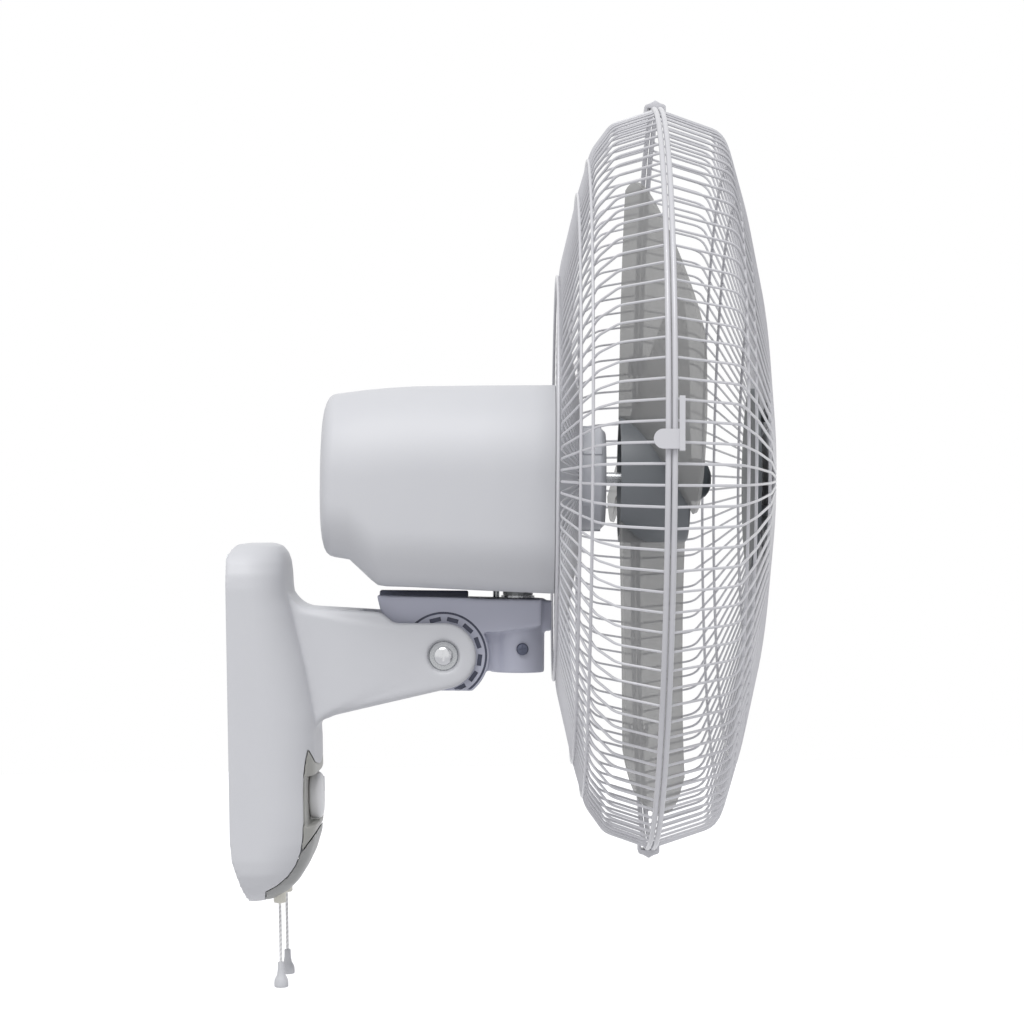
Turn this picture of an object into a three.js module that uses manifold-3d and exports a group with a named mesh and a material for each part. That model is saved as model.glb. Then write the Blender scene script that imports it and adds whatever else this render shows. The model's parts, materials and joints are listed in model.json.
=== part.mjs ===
// Wall mounted fan with a tilting, swinging head. Millimetres, +Z up, the wall is the plane Y = 0
// and the fan blows along -Y. Z = 0 is at half the height of the base's straight back.
import * as THREE from 'three';
import { mergeVertices } from 'three/addons/utils/BufferGeometryUtils.js';
import Module from 'manifold-3d';

const wasm = await Module();
wasm.setup();

// ---- driving dimensions -------------------------------------------------------------------
const gap = 0.3;                 // clearance between pieces that touch or seat
const runGap = 0.5;              // clearance round pieces that turn or slide

const baseHalfWidth = 58;
const baseTop = 102;
const baseBottom = -109;
const baseTopDepth = 34;
const baseDepth = 50;
const baseCorner = 26;           // corner radius of the base seen from the front
const baseEdge = 13;             // rounding of the long front edges
const baseWall = 3;
const plateThick = 1.6;

const pivotY = -125.4;           // tilt axis
const pivotZ = 33.5;
const headTilt = 1.5;            // degrees that the head looks down in the rest position
const armHalfWidth = 28;
const armHeight = 41;            // height of the arm's end at the tilt axis
const slotHalfWidth = 21.2;
const slotLength = 49;           // from the tilt axis back into the arm
const boltR = 3;
const boltRecessR = 9.6;
const boltRecessDepth = 4.4;
const spacerThick = 1;

const discR = 27.1;              // round toothed part of the neck
const bossR = 16.2;
const bossBottom = -10.4;
const swivelF = 43.8;            // swivel axis, forward of the tilt axis
const deckRear = -40;
const deckFront = 64;
const deckTop = 34;
const swivelR = 6;
const washerThick = 1.2;
const studSide = 14;             // link stud, beside and behind the swivel axis
const studBack = 13.1;

const fanAxis = 106;             // height of the blade axis over the tilt axis
const housingRear = -73.3;
const housingFront = 65;
const housingHalfWidth = 60;
const housingWall = 2.5;
const shaftR = 4;
const statorR = 44;
const statorBore = 25.2;
const statorRear = 6;
const statorFront = 40;
const coilDepth = 8;
const shieldThick = 4;

const wormPitchR = 5;
const wheelTeeth = 24;
const wheelModule = 1.2;
const pinionTeeth = 8;
const crankTeeth = 40;
const gearModule = 1.25;
const crankF = -14;              // crank axis, in the middle of the head
const crankR = 9;

const rimR = 222.6;
const rimF = 123.5;              // plane of the guard's rim, forward of the tilt axis
const rimHalf = 1.75;            // each rim wire lies this far from that plane
const rimBand = 3.1;
const spokes = 26;
const wire = 2.6;                // width of a spoke
const wireDepth = 1.3;
// Where the dished baskets bend: how far inside the rim, and how far from its plane.
const frontShoulder = { inset: 15.6, depth: 38 };
const frontBend = { inset: 55.6, depth: 50 };
const frontSlope = { inset: 108.6, depth: 62 };
const frontDepth = 70.5;
const rearShoulder = { inset: 11.6, depth: 27 };
const rearBend = { inset: 52.6, depth: 45 };
const rearSlope = { inset: 101.6, depth: 57 };
const nutR = 30.7;
const plateR = 46;
const bladeR = 200;
const bladeRear = 104;
const bladeFront = 146;
const hubR = 37.9;
const hubFront = 145.4;
const badgeR = 55;
const capR = 30;
const postRing = 38;             // where the badge's posts stand

const knobR = 14;
const knobZ = -49.7;
const knobDepth = 8.4;
const panelRecess = 6.8;         // the knob's channel in the panel, behind the base's front
const cordSide = 25;             // pull cords, to each side of the middle
const cordY = -26;
const cordR = 0.8;
const cordLength = 35;           // below its bushing
const pullHeight = 15;
const pullR = 4.2;

// ---- colours ------------------------------------------------------------------------------
const ivory = ['#d3d3d8', 0.55, 0];
const lavender = ['#a3a3b6', 0.5, 0];
const wireGrey = ['#dcdce6', 0.4, 0.1];
const nutGrey = ['#8f9299', 0.6, 0];
const smoke = ['#7b7f83', 0.3, 0];
const darkGrey = ['#55585c', 0.6, 0];
const panelGrey = ['#8c8c87', 0.6, 0];
const black = ['#242426', 0.6, 0];
const steel = ['#b9bcc0', 0.3, 0.9];
const zinc = ['#9fa3a6', 0.4, 0.8];
const castAlloy = ['#a9acae', 0.5, 0.7];
const copper = ['#a9663a', 0.4, 0.8];
const nylon = ['#e6e4da', 0.5, 0];
const brass = ['#b8a05a', 0.35, 0.8];

// ---- helpers ------------------------------------------------------------------------------
const fan = new THREE.Group();
const head = new THREE.Group();          // everything forward of the tilt joint
head.position.set(0, pivotY, pivotZ);
head.rotation.x = THREE.MathUtils.degToRad(headTilt);
fan.add(head);

function place(name, geometry, [colour, roughness, metalness], group = fan) {
  const material = new THREE.MeshStandardMaterial({ color: colour, roughness, metalness });
  const mesh = new THREE.Mesh(geometry, material);
  mesh.name = name;
  group.add(mesh);
}

// The same shape with only positions, shared corners and faces that point outwards.
function tidy(geometry) {
  const bare = geometry.clone();
  bare.deleteAttribute('normal');
  bare.deleteAttribute('uv');
  const merged = mergeVertices(bare, 1e-4);
  const at = (i) => new THREE.Vector3().fromBufferAttribute(merged.attributes.position, i);
  const faces = [];
  let volume = 0;
  for (let i = 0; i < merged.index.count; i += 3) {
    const [a, b, c] = [0, 1, 2].map((k) => merged.index.getX(i + k));
    if (a === b || b === c || c === a) continue;
    faces.push([a, b, c]);
    volume += at(a).dot(at(b).cross(at(c)));
  }
  merged.setIndex(faces.map((face) => (volume < 0 ? face.reverse() : face)).flat());
  return merged;
}

function toSolid(geometry) {
  const clean = tidy(geometry);
  const vertProperties = Float32Array.from(clean.attributes.position.array);
  const triVerts = Uint32Array.from(clean.index.array);
  return new wasm.Manifold(new wasm.Mesh({ numProp: 3, vertProperties, triVerts }));
}

function toGeometry(solid) {
  const mesh = solid.getMesh();
  const geometry = new THREE.BufferGeometry();
  geometry.setAttribute('position', new THREE.BufferAttribute(mesh.vertProperties, 3));
  geometry.setIndex(new THREE.BufferAttribute(mesh.triVerts, 1));
  return geometry;
}

// One geometry joined with more of them, and then cut by others.
function build(joined, cuts = []) {
  let solid = toSolid(joined[0]);
  for (const piece of joined.slice(1)) solid = solid.add(toSolid(piece));
  for (const piece of cuts) solid = solid.subtract(toSolid(piece));
  return toGeometry(solid);
}

function common(first, second) {
  return toGeometry(toSolid(first).intersect(toSolid(second)));
}

// A block between two corners.
function block([x0, y0, z0], [x1, y1, z1]) {
  const size = [x1 - x0, y1 - y0, z1 - z0].map(Math.abs);
  return new THREE.BoxGeometry(...size).translate((x0 + x1) / 2, (y0 + y1) / 2, (z0 + z1) / 2);
}

// Round bars along X, along Y (forward distances f0 to f1) and upright (z0 to z1).
function barX(r, x0, x1, y, z, sides = 16) {
  const bar = new THREE.CylinderGeometry(r, r, Math.abs(x1 - x0), sides).rotateZ(Math.PI / 2);
  return bar.translate((x0 + x1) / 2, y, z);
}

function barF(r, f0, f1, x, z, sides = 16) {
  return new THREE.CylinderGeometry(r, r, Math.abs(f1 - f0), sides).translate(x, -(f0 + f1) / 2, z);
}

function barZ(r, z0, z1, x, y, sides = 16) {
  const bar = new THREE.CylinderGeometry(r, r, Math.abs(z1 - z0), sides).rotateX(Math.PI / 2);
  return bar.translate(x, y, (z0 + z1) / 2);
}

// A closed profile of [radius, forward] points turned round the blade axis.
function turned(profile, sides = 28, z = fanAxis) {
  const points = [...profile, profile[0]].map(([r, f]) => new THREE.Vector2(r, -f));
  return new THREE.LatheGeometry(points, sides).translate(0, 0, z);
}

function outline(points) {
  return new THREE.Shape(points.map(([a, b]) => new THREE.Vector2(a, b)));
}

// A [y, z] outline extruded along X between two planes, with rounded edges if asked.
function acrossX(shape, x0, x1, round = 0) {
  const bevel = { bevelEnabled: round > 0, bevelThickness: round, bevelSize: round, bevelOffset: -round };
  const depth = x1 - x0 - 2 * round;
  const solid = new THREE.ExtrudeGeometry(shape, { depth, bevelSegments: 2, curveSegments: 4, ...bevel });
  const turn = new THREE.Matrix4().makeBasis(
    new THREE.Vector3(0, 1, 0), new THREE.Vector3(0, 0, 1), new THREE.Vector3(1, 0, 0));
  return solid.applyMatrix4(turn).translate(x0 + round, 0, 0);
}

// An [x, z] outline extruded forwards from f0 to f1.
function forwards(shape, f0, f1) {
  const solid = new THREE.ExtrudeGeometry(shape, { depth: f1 - f0, bevelEnabled: false, curveSegments: 8 });
  return solid.rotateX(Math.PI / 2).translate(0, -f0, 0);
}

// An [x, y] outline extruded upwards.
function upwards(shape, z0, z1) {
  const solid = new THREE.ExtrudeGeometry(shape, { depth: z1 - z0, bevelEnabled: false, curveSegments: 8 });
  return solid.translate(0, 0, z0);
}

// A closed skin over a row of rings, each a closed loop with the same number of points.
function loft(rings) {
  const n = rings[0].length;
  const points = rings.flat();
  const index = [];
  for (let k = 0; k < rings.length - 1; k += 1) {
    for (let i = 0; i < n; i += 1) {
      const [a, b] = [k * n + i, k * n + ((i + 1) % n)];
      index.push(a, b, b + n, a, b + n, a + n);
    }
  }
  for (const [k, turn] of [[0, false], [rings.length - 1, true]]) {
    const centre = new THREE.Vector3();
    rings[k].forEach((p) => centre.addScaledVector(p, 1 / n));
    points.push(centre);
    for (let i = 0; i < n; i += 1) {
      const [a, b] = [k * n + i, k * n + ((i + 1) % n)];
      index.push(...(turn ? [a, b, points.length - 1] : [b, a, points.length - 1]));
    }
  }
  return new THREE.BufferGeometry().setFromPoints(points).setIndex(index);
}

// The value at z on a line of [z, value] points.
function along(line, z) {
  const i = Math.max(1, line.findIndex(([place]) => place >= z));
  const [[z0, v0], [z1, v1]] = [line[i - 1], line[i]];
  return v0 + (v1 - v0) * THREE.MathUtils.clamp((z - z0) / (z1 - z0), 0, 1);
}

// ---- wall base ----------------------------------------------------------------------------
// How far the base's front lies behind its full depth near the bottom, then behind its depth at the top.
const lowerFront = [
  [baseBottom, 32], [baseBottom + 2, 23], [-103, 17.5], [-98, 12.5], [-91, 8], [-83, 4], [-74, 1.4],
  [-62, 0], [-16, 0], [0, 0.6], [30, 6]].map(([z, behind]) => [z, baseDepth - behind]);
const upperFront = [
  [60, -3.5], [69, -1], [76, 0], [84, 0.2], [91, 0.6], [96, 1.7], [99.5, 4], [baseTop, 9],
].map(([z, behind]) => [z, baseTopDepth - behind]);
const frontLine = [...lowerFront, ...upperFront];
// Where its back leaves the wall: a chamfer at the bottom and a rounded top edge.
const backLine = [[baseBottom, 9], [-104, 7], [-80, 0], [94, 0], [99, 2], [baseTop, 6]];

function baseWidthAt(z) {
  const rise = Math.max(0, z - (baseTop - baseCorner), baseBottom + baseCorner - z);
  return baseHalfWidth - baseCorner + Math.sqrt(Math.max(0, baseCorner ** 2 - rise ** 2));
}

// The base's level section at height z, drawn in by a wall.
function baseRing(z, inset) {
  const w = baseWidthAt(z) - inset;
  const front = along(frontLine, z) - inset;
  const back = inset > 0 ? -10 : along(backLine, z);
  const edge = Math.min(baseEdge, w * 0.4, (front - Math.max(back, 0)) * 0.45) - inset * 0.5;
  const crown = 3;
  const half = [];
  for (let i = 0; i <= 3; i += 1) {
    const turn = (i / 3) * (Math.PI / 2);
    half.push([w - edge + edge * Math.cos(turn), front - crown - edge + edge * Math.sin(turn)]);
  }
  half.push([(w - edge) * 0.5, front - crown * 0.25]);
  const right = [[w, back], ...half];
  const left = right.map(([x, y]) => [-x, y]).reverse();
  return [...right, [0, front], ...left].map(([x, y]) => new THREE.Vector3(x, -y, z));
}

function baseBody(inset) {
  const heights = frontLine.map(([z]) => z);
  const [low, high] = [baseBottom + inset, baseTop - inset];
  const inside = heights.filter((z) => z > low + 0.4 && z < high - 0.4);
  return loft([low, ...inside, high].map((z) => baseRing(z, inset)));
}

// The arm's outline from the side, from inside the base to its rounded end.
const armTipF = 18.4;
const armTop = pivotZ + armHeight / 2;
const armLow = pivotZ - armHeight / 2;
const armSide = new THREE.Shape();
armSide.moveTo(-22, 74);
armSide.lineTo(-33, 72);
armSide.quadraticCurveTo(-37, 64.2, -50, 63);
armSide.lineTo(-87, 60.4);
armSide.lineTo(pivotY - armTipF + 14, armTop);
armSide.quadraticCurveTo(pivotY - armTipF, armTop, pivotY - armTipF, armTop - 12);
armSide.lineTo(pivotY - armTipF, armLow + 10);
armSide.quadraticCurveTo(pivotY - armTipF, armLow, pivotY - armTipF + 12, armLow);
armSide.lineTo(pivotY, armLow);
armSide.lineTo(-54, 0);
armSide.quadraticCurveTo(-50, -1, -48, -8);
armSide.lineTo(-22, -12);
const arm = acrossX(armSide, -armHalfWidth, armHalfWidth, 3.5);

const slotRear = pivotY + slotLength;
const armHollow = acrossX(
  outline([[-20, 62], [-46, 59], [slotRear + 3, 56], [slotRear + 3, 9], [-50, 4], [-20, 0]]), -24.5, 24.5);
const slot = block([-slotHalfWidth, pivotY - 40, armLow - 20], [slotHalfWidth, slotRear, armTop + 30]);
const recessFloor = armHalfWidth - boltRecessDepth;
const boltHole = barX(boltR + gap, -armHalfWidth - 5, armHalfWidth + 5, pivotY, pivotZ, 12);
const recesses = [-1, 1].map((side) => (
  barX(boltRecessR, side * recessFloor, side * (armHalfWidth + 6), pivotY, pivotZ, 16)));

// Side view of what belongs to the grey control panel and the strip under it: [behind the front, z].
const fromFront = (points) => points.map(([behind, z]) => [behind - baseDepth, z]);
const panelEdge = fromFront([
  [-20, -16.5], [0.6, -16.5], [4.6, -21.5], [6.6, -28], [7.4, -40], [7.4, -62], [8.4, -76],
  [11.4, -86], [20, -97], [30, -103.5], [35, -125], [-20, -125],
]);
const shifted = (points, by) => points.map(([y, z]) => [y + by, z + by]);
const wide = baseHalfWidth + 10;
const panelZone = acrossX(outline(panelEdge), -wide, wide);
const panelOpening = acrossX(outline(shifted(panelEdge, gap)), -wide, wide);
const seam = fromFront([
  [-20, -86], [-20, -55], [-2, -64.5], [9, -78.5], [45, -100], [45, -125], [-20, -125]]);
const panelFace = baseDepth - panelRecess;
const knobFront = panelFace + knobDepth;
const backingFace = panelFace - 3.4;      // back of the panel, inside the base
const backing = block([-45, -panelFace - 2, -72], [45, -backingFace, -28.5]);

const screwHoleR = 2.1;
const coverScrewY = -13;
const coverScrewHole = barZ(screwHoleR, baseBottom - 5, baseBottom + 8, 0, coverScrewY, 10);
const inletR = 4;                // notch for the mains cord at the bottom of the back
const inletX = 32;
const inletTop = -92;
const inlet = block([inletX - inletR, -20, baseBottom - 5], [inletX + inletR, 5, inletTop]);

place('base_cover', build([baseBody(0), arm], [
  baseBody(baseWall), armHollow, slot, boltHole, ...recesses, panelOpening, coverScrewHole, inlet]), ivory);

const strip = toGeometry(toSolid(baseBody(0)).intersect(toSolid(panelZone))
  .intersect(toSolid(acrossX(outline(seam), -wide, wide))));
const bushR = 3.7;
const bushHoles = [-1, 1].map((side) => barZ(bushR + gap, -125, -80, side * cordSide, cordY, 12));
place('lower_strip', build([strip], bushHoles), darkGrey);

const knobChannel = block(
  [-wide, -baseDepth - 20, knobZ - knobR - 0.6], [wide, -panelFace, knobZ + knobR + 0.6]);
const switchShaftR = 3;
const panelBody = build([common(baseBody(0), panelZone), backing],
  [acrossX(outline(shifted(seam, gap)), -wide, wide), knobChannel,
    barF(switchShaftR + gap, 30, 60, 0, knobZ, 10)]);
place('control_panel', panelBody, panelGrey);

// Steel back plate inside the cover's rim, with two keyholes and a tab for the cover's screw.
const plateInset = baseWall + gap + 0.5;
const plateLow = -74;
const plateHigh = 96;
const plateHeights = frontLine.map(([z]) => z).filter((z) => z >= plateLow && z <= plateHigh);
const plateEdge = plateHeights.map((z) => [baseWidthAt(z) - plateInset, z]);
const plateShape = outline([...plateEdge, ...plateEdge.map(([x, z]) => [-x, z]).reverse()]);
const keyholeZ = 62;
const keyholes = [-1, 1].flatMap((side) => [
  barF(4.6, -5, 5, side * 30, keyholeZ, 12),
  block([side * 30 - 2.3, -5, keyholeZ], [side * 30 + 2.3, 5, keyholeZ + 12])]);
const lowSlot = block([-6, -5, -58], [6, 5, -53]);
const tabZ = baseBottom + baseWall + 2;
const tab = block([-10, -18, tabZ], [10, -9, tabZ + plateThick]);
const tabNeck = acrossX(
  outline([[0, plateLow + 2], [-plateThick, plateLow + 2], [-9 - plateThick, tabZ], [-9, tabZ]]), -10, 10);
place('wall_plate', build([forwards(plateShape, 0, plateThick), tab, tabNeck],
  [...keyholes, lowSlot, barZ(1.7 + gap, tabZ - 5, tabZ + 5, 0, coverScrewY, 10)]), zinc);
const coverScrew = [
  barZ(1.7, baseBottom - 1, tabZ + 4, 0, coverScrewY, 8),
  barZ(3.6, baseBottom - gap - 2.2, baseBottom - gap, 0, coverScrewY, 10)];
place('cover_screw', build(coverScrew), steel);

// Speed switch, its knob, and the two pull switches with their cords.
const switchBody = [
  block([-15, -backingFace + gap, knobZ - 15], [15, -24, knobZ + 15]),
  barF(switchShaftR, 30, knobFront - 3, 0, knobZ, 10)];
place('speed_switch', build(switchBody), darkGrey);
const knobProfile = [
  [switchShaftR + gap, panelFace + gap], [knobR, panelFace + gap], [knobR, knobFront - 2.4],
  [knobR - 1, knobFront - 1], [knobR - 4, knobFront - 0.2], [0, knobFront], [0, knobFront - 2.6],
  [switchShaftR + gap, knobFront - 2.6],
];
const pointer = block([-1, -knobFront - 0.6, knobZ + 2], [1, -knobFront + 1.4, knobZ + knobR - 3]);
place('speed_knob', build([turned(knobProfile, 22, knobZ), pointer]), ivory);

const bushTop = -96;
const bushBottom = -111;
const cordBore = 1.5;
const pullTop = bushBottom - cordLength;
const pullSwitchLow = -84;
for (const [side, hand] of [[-1, 'left'], [1, 'right']]) {
  const x = side * cordSide;
  const bush = [barZ(bushR, bushTop, bushBottom, x, cordY, 12)];
  place(`cord_bush_${hand}`, build(bush, [barZ(cordBore, -70, -130, x, cordY, 10)]), nylon);
  const body = [
    block([x - 8, -plateThick - gap, pullSwitchLow + 4], [x + 8, cordY - 9, pullSwitchLow + 24]),
    block([x - 3, cordY - 4, pullSwitchLow], [x + 3, cordY + 6, pullSwitchLow + 6])];
  place(`pull_switch_${hand}`, build(body), black);
  const route = new THREE.LineCurve3(
    new THREE.Vector3(x, cordY, pullSwitchLow - gap), new THREE.Vector3(x, cordY, pullTop + gap));
  const section = outline([0, 1, 2, 3, 4, 5, 6, 7].map((i) => (
    [cordR * Math.cos((i * Math.PI) / 4), cordR * Math.sin((i * Math.PI) / 4)])));
  const cord = new THREE.ExtrudeGeometry(section, { steps: 10, extrudePath: route, bevelEnabled: false });
  place(`pull_cord_${hand}`, tidy(cord), nylon);
  const bell = [[0, 0], [1.7, 0], [2, -5], [2.6, -8.5], [pullR - 0.3, -10.5], [pullR, -12],
    [pullR, -pullHeight + 0.6], [pullR - 0.6, -pullHeight], [0, -pullHeight]];
  const knob = new THREE.LatheGeometry(bell.map(([r, h]) => new THREE.Vector2(r, h)), 12);
  place(`pull_knob_${hand}`, tidy(knob.rotateX(Math.PI / 2).translate(x, cordY, pullTop)), ivory);
}
place('terminal_block', build([block([-17, -plateThick - gap, 66], [17, -15, 80])]), nylon);
place('capacitor', build([block([-20, -plateThick - gap, 22], [20, -20, 50])]), black);

// ---- tilt joint ---------------------------------------------------------------------------
const washerX = recessFloor + gap;
const boltHeadX = washerX + 1.2 + gap;
const crossCuts = [[0.6, 4], [4, 0.6]].map(([y, z]) => (
  block([-boltHeadX - 4, pivotY - y, pivotZ - z], [-boltHeadX - 1.2, pivotY + y, pivotZ + z])));
place('tilt_bolt', build([
  barX(boltR, -boltHeadX - 1, boltHeadX + 4.2, pivotY, pivotZ, 12),
  barX(5.6, -boltHeadX - 2.6, -boltHeadX, pivotY, pivotZ, 16)], crossCuts), steel);
place('tilt_washer', build([barX(8.8, -washerX - 1.2, -washerX, pivotY, pivotZ, 16)], [boltHole]), steel);
place('tilt_nut', build([barX(6.4, washerX, washerX + 4, pivotY, pivotZ, 6)], [boltHole]), steel);
for (const [side, hand] of [[-1, 'left'], [1, 'right']]) {
  const outer = slotHalfWidth - gap;
  const spacer = barX(14, side * (outer - spacerThick), side * outer, pivotY, pivotZ, 16);
  place(`tilt_spacer_${hand}`, build([spacer], [boltHole]), nylon);
}

// ---- neck: turns with the tilt, carries the swivel shaft -----------------------------------
// From here on x is to the side, f forward of the tilt axis and z over it.
const neckHalf = slotHalfWidth - 2 * gap - spacerThick;
const deckShape = outline([[-deckRear, deckTop + 1.2], [-deckRear - 2, 27], [25, 14], [-20, 14],
  [-swivelF, 17], [-swivelF - 10, 17], [-swivelF - 10, deckTop - 0.4], [-swivelF, deckTop],
  [-swivelF + 16, deckTop]]);
const deck = acrossX(deckShape, -neckHalf, neckHalf);
const disc = barX(discR, -neckHalf, neckHalf, 0, 0, 30);
const web = block([-12, -swivelF, bossBottom + 1], [12, -discR + 12, 20]);
const boss = barZ(bossR, bossBottom, deckTop, 0, -swivelF, 24);
const cablePort = block([-8, -deckFront, 14.5], [8, -swivelF - 8, deckTop - 1.4]);
const ridge = block([-6, -14, 20], [6, -deckRear - 2, deckTop + 4]);
const pockets = [];
const pocketCount = 13;
for (let i = 0; i < pocketCount; i += 1) {
  const pocket = block([neckHalf - 1.4, -3.4, discR - 7.7], [neckHalf + 3, 3.4, discR - 4.9]);
  pocket.rotateX(((i + 0.5) * 2 * Math.PI) / pocketCount);
  pockets.push(pocket, pocket.clone().translate(-2 * neckHalf - 1.6, 0, 0));
}
const tiltBore = barX(boltR + gap, -40, 40, 0, 0, 12);
const studX = studSide;
const studY = -swivelF + studBack;
const studR = 2;
const trays = [-1, 1].map((side) => block([side * 8, -12, 26], [side * (neckHalf - 2.4), 33, 60]));
const lockF = swivelF + 3;
const lockZ = 4;
const lockHole = barX(2 + gap, -30, -swivelR + 1, -lockF, lockZ, 10);
const neckParts = [disc, deck, web, boss, cablePort, ridge];
place('neck_bracket', build(neckParts, [
  tiltBore, barZ(swivelR + gap, bossBottom - 5, 50, 0, -swivelF, 20),
  barZ(studR + gap, 22, 60, studX, studY, 10), ...pockets, ...trays, lockHole]), lavender, head);
const lockReach = Math.sqrt(bossR ** 2 - (lockF - swivelF) ** 2);
place('swivel_lock_screw', build([
  barX(2, -lockReach - 1, -swivelR - gap, -lockF, lockZ, 8),
  barX(3.6, -lockReach - 2.6, -lockReach - gap, -lockF, lockZ, 10)]), black, head);

// ---- swivel: shaft, washer, link ------------------------------------------------------------
const washerLow = deckTop + gap;
const footLow = washerLow + washerThick + gap;
const washerBore = barZ(swivelR + gap, 0, 60, 0, -swivelF, 20);
place('swivel_washer', build([barZ(10, washerLow, washerLow + washerThick, 0, -swivelF, 20)],
  [washerBore]), steel, head);
const linkLow = 44.2;
const linkThick = 1.4;
place('link_stud', build([barZ(studR, 22.4, linkLow + linkThick + 1.2, studX, studY, 10),
  barZ(3.2, linkLow - 1.6, linkLow - gap, studX, studY, 10)]), steel, head);
const restTurn = Math.asin(1 / 3);                  // where the crank pin stands at rest
const pinX = crankR * Math.cos(restTurn);
const pinY = -crankF + crankR * Math.sin(restTurn);
const linkSpan = Math.hypot(pinX - studX, pinY - studY);
const linkTurn = Math.atan2(pinY - studY, pinX - studX);
const linkBar = [
  block([0, -3, 0], [linkSpan, 3, linkThick]),
  barZ(4.4, 0, linkThick, 0, 0, 16), barZ(4.4, 0, linkThick, linkSpan, 0, 16)];
const link = build(linkBar, [barZ(studR + gap, -5, 5, 0, 0, 10)]);
place('swing_link', link.rotateZ(linkTurn).translate(studX, studY, linkLow), zinc, head);

// ---- motor housing --------------------------------------------------------------------------
// [forward, top, bottom] of the housing from the side.
const housingLine = [
  [housingRear, 140, 76], [-72.2, 148.5, 65.5], [-69.5, 153.4, 60.4], [-65, 155.6, 58], [-56, 156.8, 56.6],
  [-47.5, 158, 48.8], [-39, 158.8, 41.6], [-20, 160.3, 40.6], [20, 161.2, 39], [housingFront, 161.8, 37.4],
];
const housingTopR = 54;
const housingLowR = 34;

function housingRing([f, top, low], inset) {
  const shrink = Math.min(1, (top - low + 2) / 104);
  const w = housingHalfWidth * shrink - inset;
  const [high, bottom] = [top - inset, low + inset];
  const [upR, lowR] = [housingTopR, housingLowR].map((r) => Math.min(r * shrink, w - 0.5) - inset * 0.5);
  const ring = [];
  const corners = [[w, high, upR, 0], [-w, high, upR, 1], [-w, bottom, lowR, 2], [w, bottom, lowR, 3]];
  for (const [x, z, r, quarter] of corners) {
    for (let i = 0; i <= 4; i += 1) {
      const turn = (quarter + i / 4) * (Math.PI / 2);
      const cx = x - Math.sign(x) * r;
      const cz = z + (quarter < 2 ? -r : r);
      ring.push(new THREE.Vector3(cx + r * Math.cos(turn), -f, cz + r * Math.sin(turn)));
    }
  }
  return ring;
}

const outerHousing = loft(housingLine.map((row) => housingRing(row, 0)));
const innerRows = housingLine.slice(1).map(([f, top, low], i, rows) => (
  [i === 0 ? f + 1.6 : f + (i === rows.length - 1 ? 5 : 0), top, low]));
const innerHousing = loft(innerRows.map((row) => housingRing(row, housingWall)));
const bellyOpening = block([-25, -58, 20], [25, -16, 52]);
const vents = [];
for (let i = 0; i < 5; i += 1) {
  vents.push(block([-26, 62, 84 + i * 11], [26, 84, 87 + i * 11]));
}
place('motor_housing', build([outerHousing], [innerHousing, bellyOpening, ...vents]), ivory, head);

// Front cover: closes the housing, steps up to the seat of the rear guard and ends in a collar.
const collarR = 20;
const seatF = 78.5;
const seatRing = (f, r) => housingRing([f, fanAxis + r, fanAxis - r], 0).map((p) => {
  const angle = Math.atan2(p.z - fanAxis, p.x);
  return new THREE.Vector3(r * Math.cos(angle), -f, fanAxis + r * Math.sin(angle));
});
const coverFront = housingFront + gap;
const [, frontTop, frontLow] = housingLine[housingLine.length - 1];
const domeRings = [
  housingRing([coverFront, frontTop, frontLow], 0.2), housingRing([coverFront + 2, frontTop, frontLow], 1.4),
  seatRing(seatF - 5, plateR + 5), seatRing(seatF, plateR)];
const domeInner = [
  housingRing([coverFront - 2, frontTop, frontLow], 3), housingRing([coverFront + 1, frontTop, frontLow], 5),
  seatRing(seatF - 3, plateR - 4)];
place('front_cover', build([loft(domeRings), barF(collarR, seatF - 3, seatF + 14, 0, fanAxis, 24)],
  [loft(domeInner), barF(shaftR + runGap, 50, 100, 0, fanAxis, 12)]), ivory, head);

// ---- motor ----------------------------------------------------------------------------------
const ringOf = (outer, inner, f0, f1, sides) => turned(
  [[outer, f0], [outer, f1], [inner, f1], [inner, f0]], sides);
const frontShieldF = statorFront + 10;
const rearShieldF = statorRear - 13;
place('stator', build([ringOf(statorR, statorBore, statorRear, statorFront, 24)]), castAlloy, head);
const coil = (f0) => ringOf(statorBore + 14, statorBore + 1.5, f0, f0 + coilDepth, 20);
place('coil_front', build([coil(statorFront + gap)]), copper, head);
place('coil_rear', build([coil(statorRear - gap - coilDepth)]), copper, head);
const rotorR = statorBore - 0.6;
place('rotor_core', build([ringOf(rotorR, shaftR + 0.05 + gap, statorRear + 1, statorFront - 1, 20)]),
  castAlloy, head);

const bearingR = 11;
const bearingLong = 5;
const shieldR = statorR + 1;
const footR = 9;
const frontShield = [
  ringOf(shieldR, shaftR + runGap, frontShieldF, frontShieldF + shieldThick, 24),
  ringOf(shieldR, shieldR - 4, statorFront + gap, frontShieldF + 1, 24),
  ringOf(bearingR + 4, bearingR + gap, frontShieldF - 5, frontShieldF + 1, 20)];
const foot = [
  barZ(footR, footLow, fanAxis - shieldR + 4, 0, -swivelF, 16),
  block([-10, -frontShieldF - shieldThick, 56], [10, -swivelF, fanAxis - shieldR + 8])];
const shaftSocket = barZ(swivelR + gap, 10, 57, 0, -swivelF, 20);
const coilRoom = barF(statorBore + 14 + 1, statorRear, frontShieldF - 0.2, 0, fanAxis, 24);
place('front_shield', build([toGeometry(toSolid(frontShield[1]).add(toSolid(foot[0]))
  .add(toSolid(foot[1])).subtract(toSolid(coilRoom))), frontShield[0], frontShield[2]], [shaftSocket,
  barF(statorR + 2, statorRear, statorFront + gap, 0, fanAxis, 24)]), castAlloy, head);
const shaftTop = 56.6;
const groove = block([-swivelR - 3, -swivelF - swivelR - 2, lockZ - 2.6], [-swivelR + 1.2, -20, lockZ + 2.6]);
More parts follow.
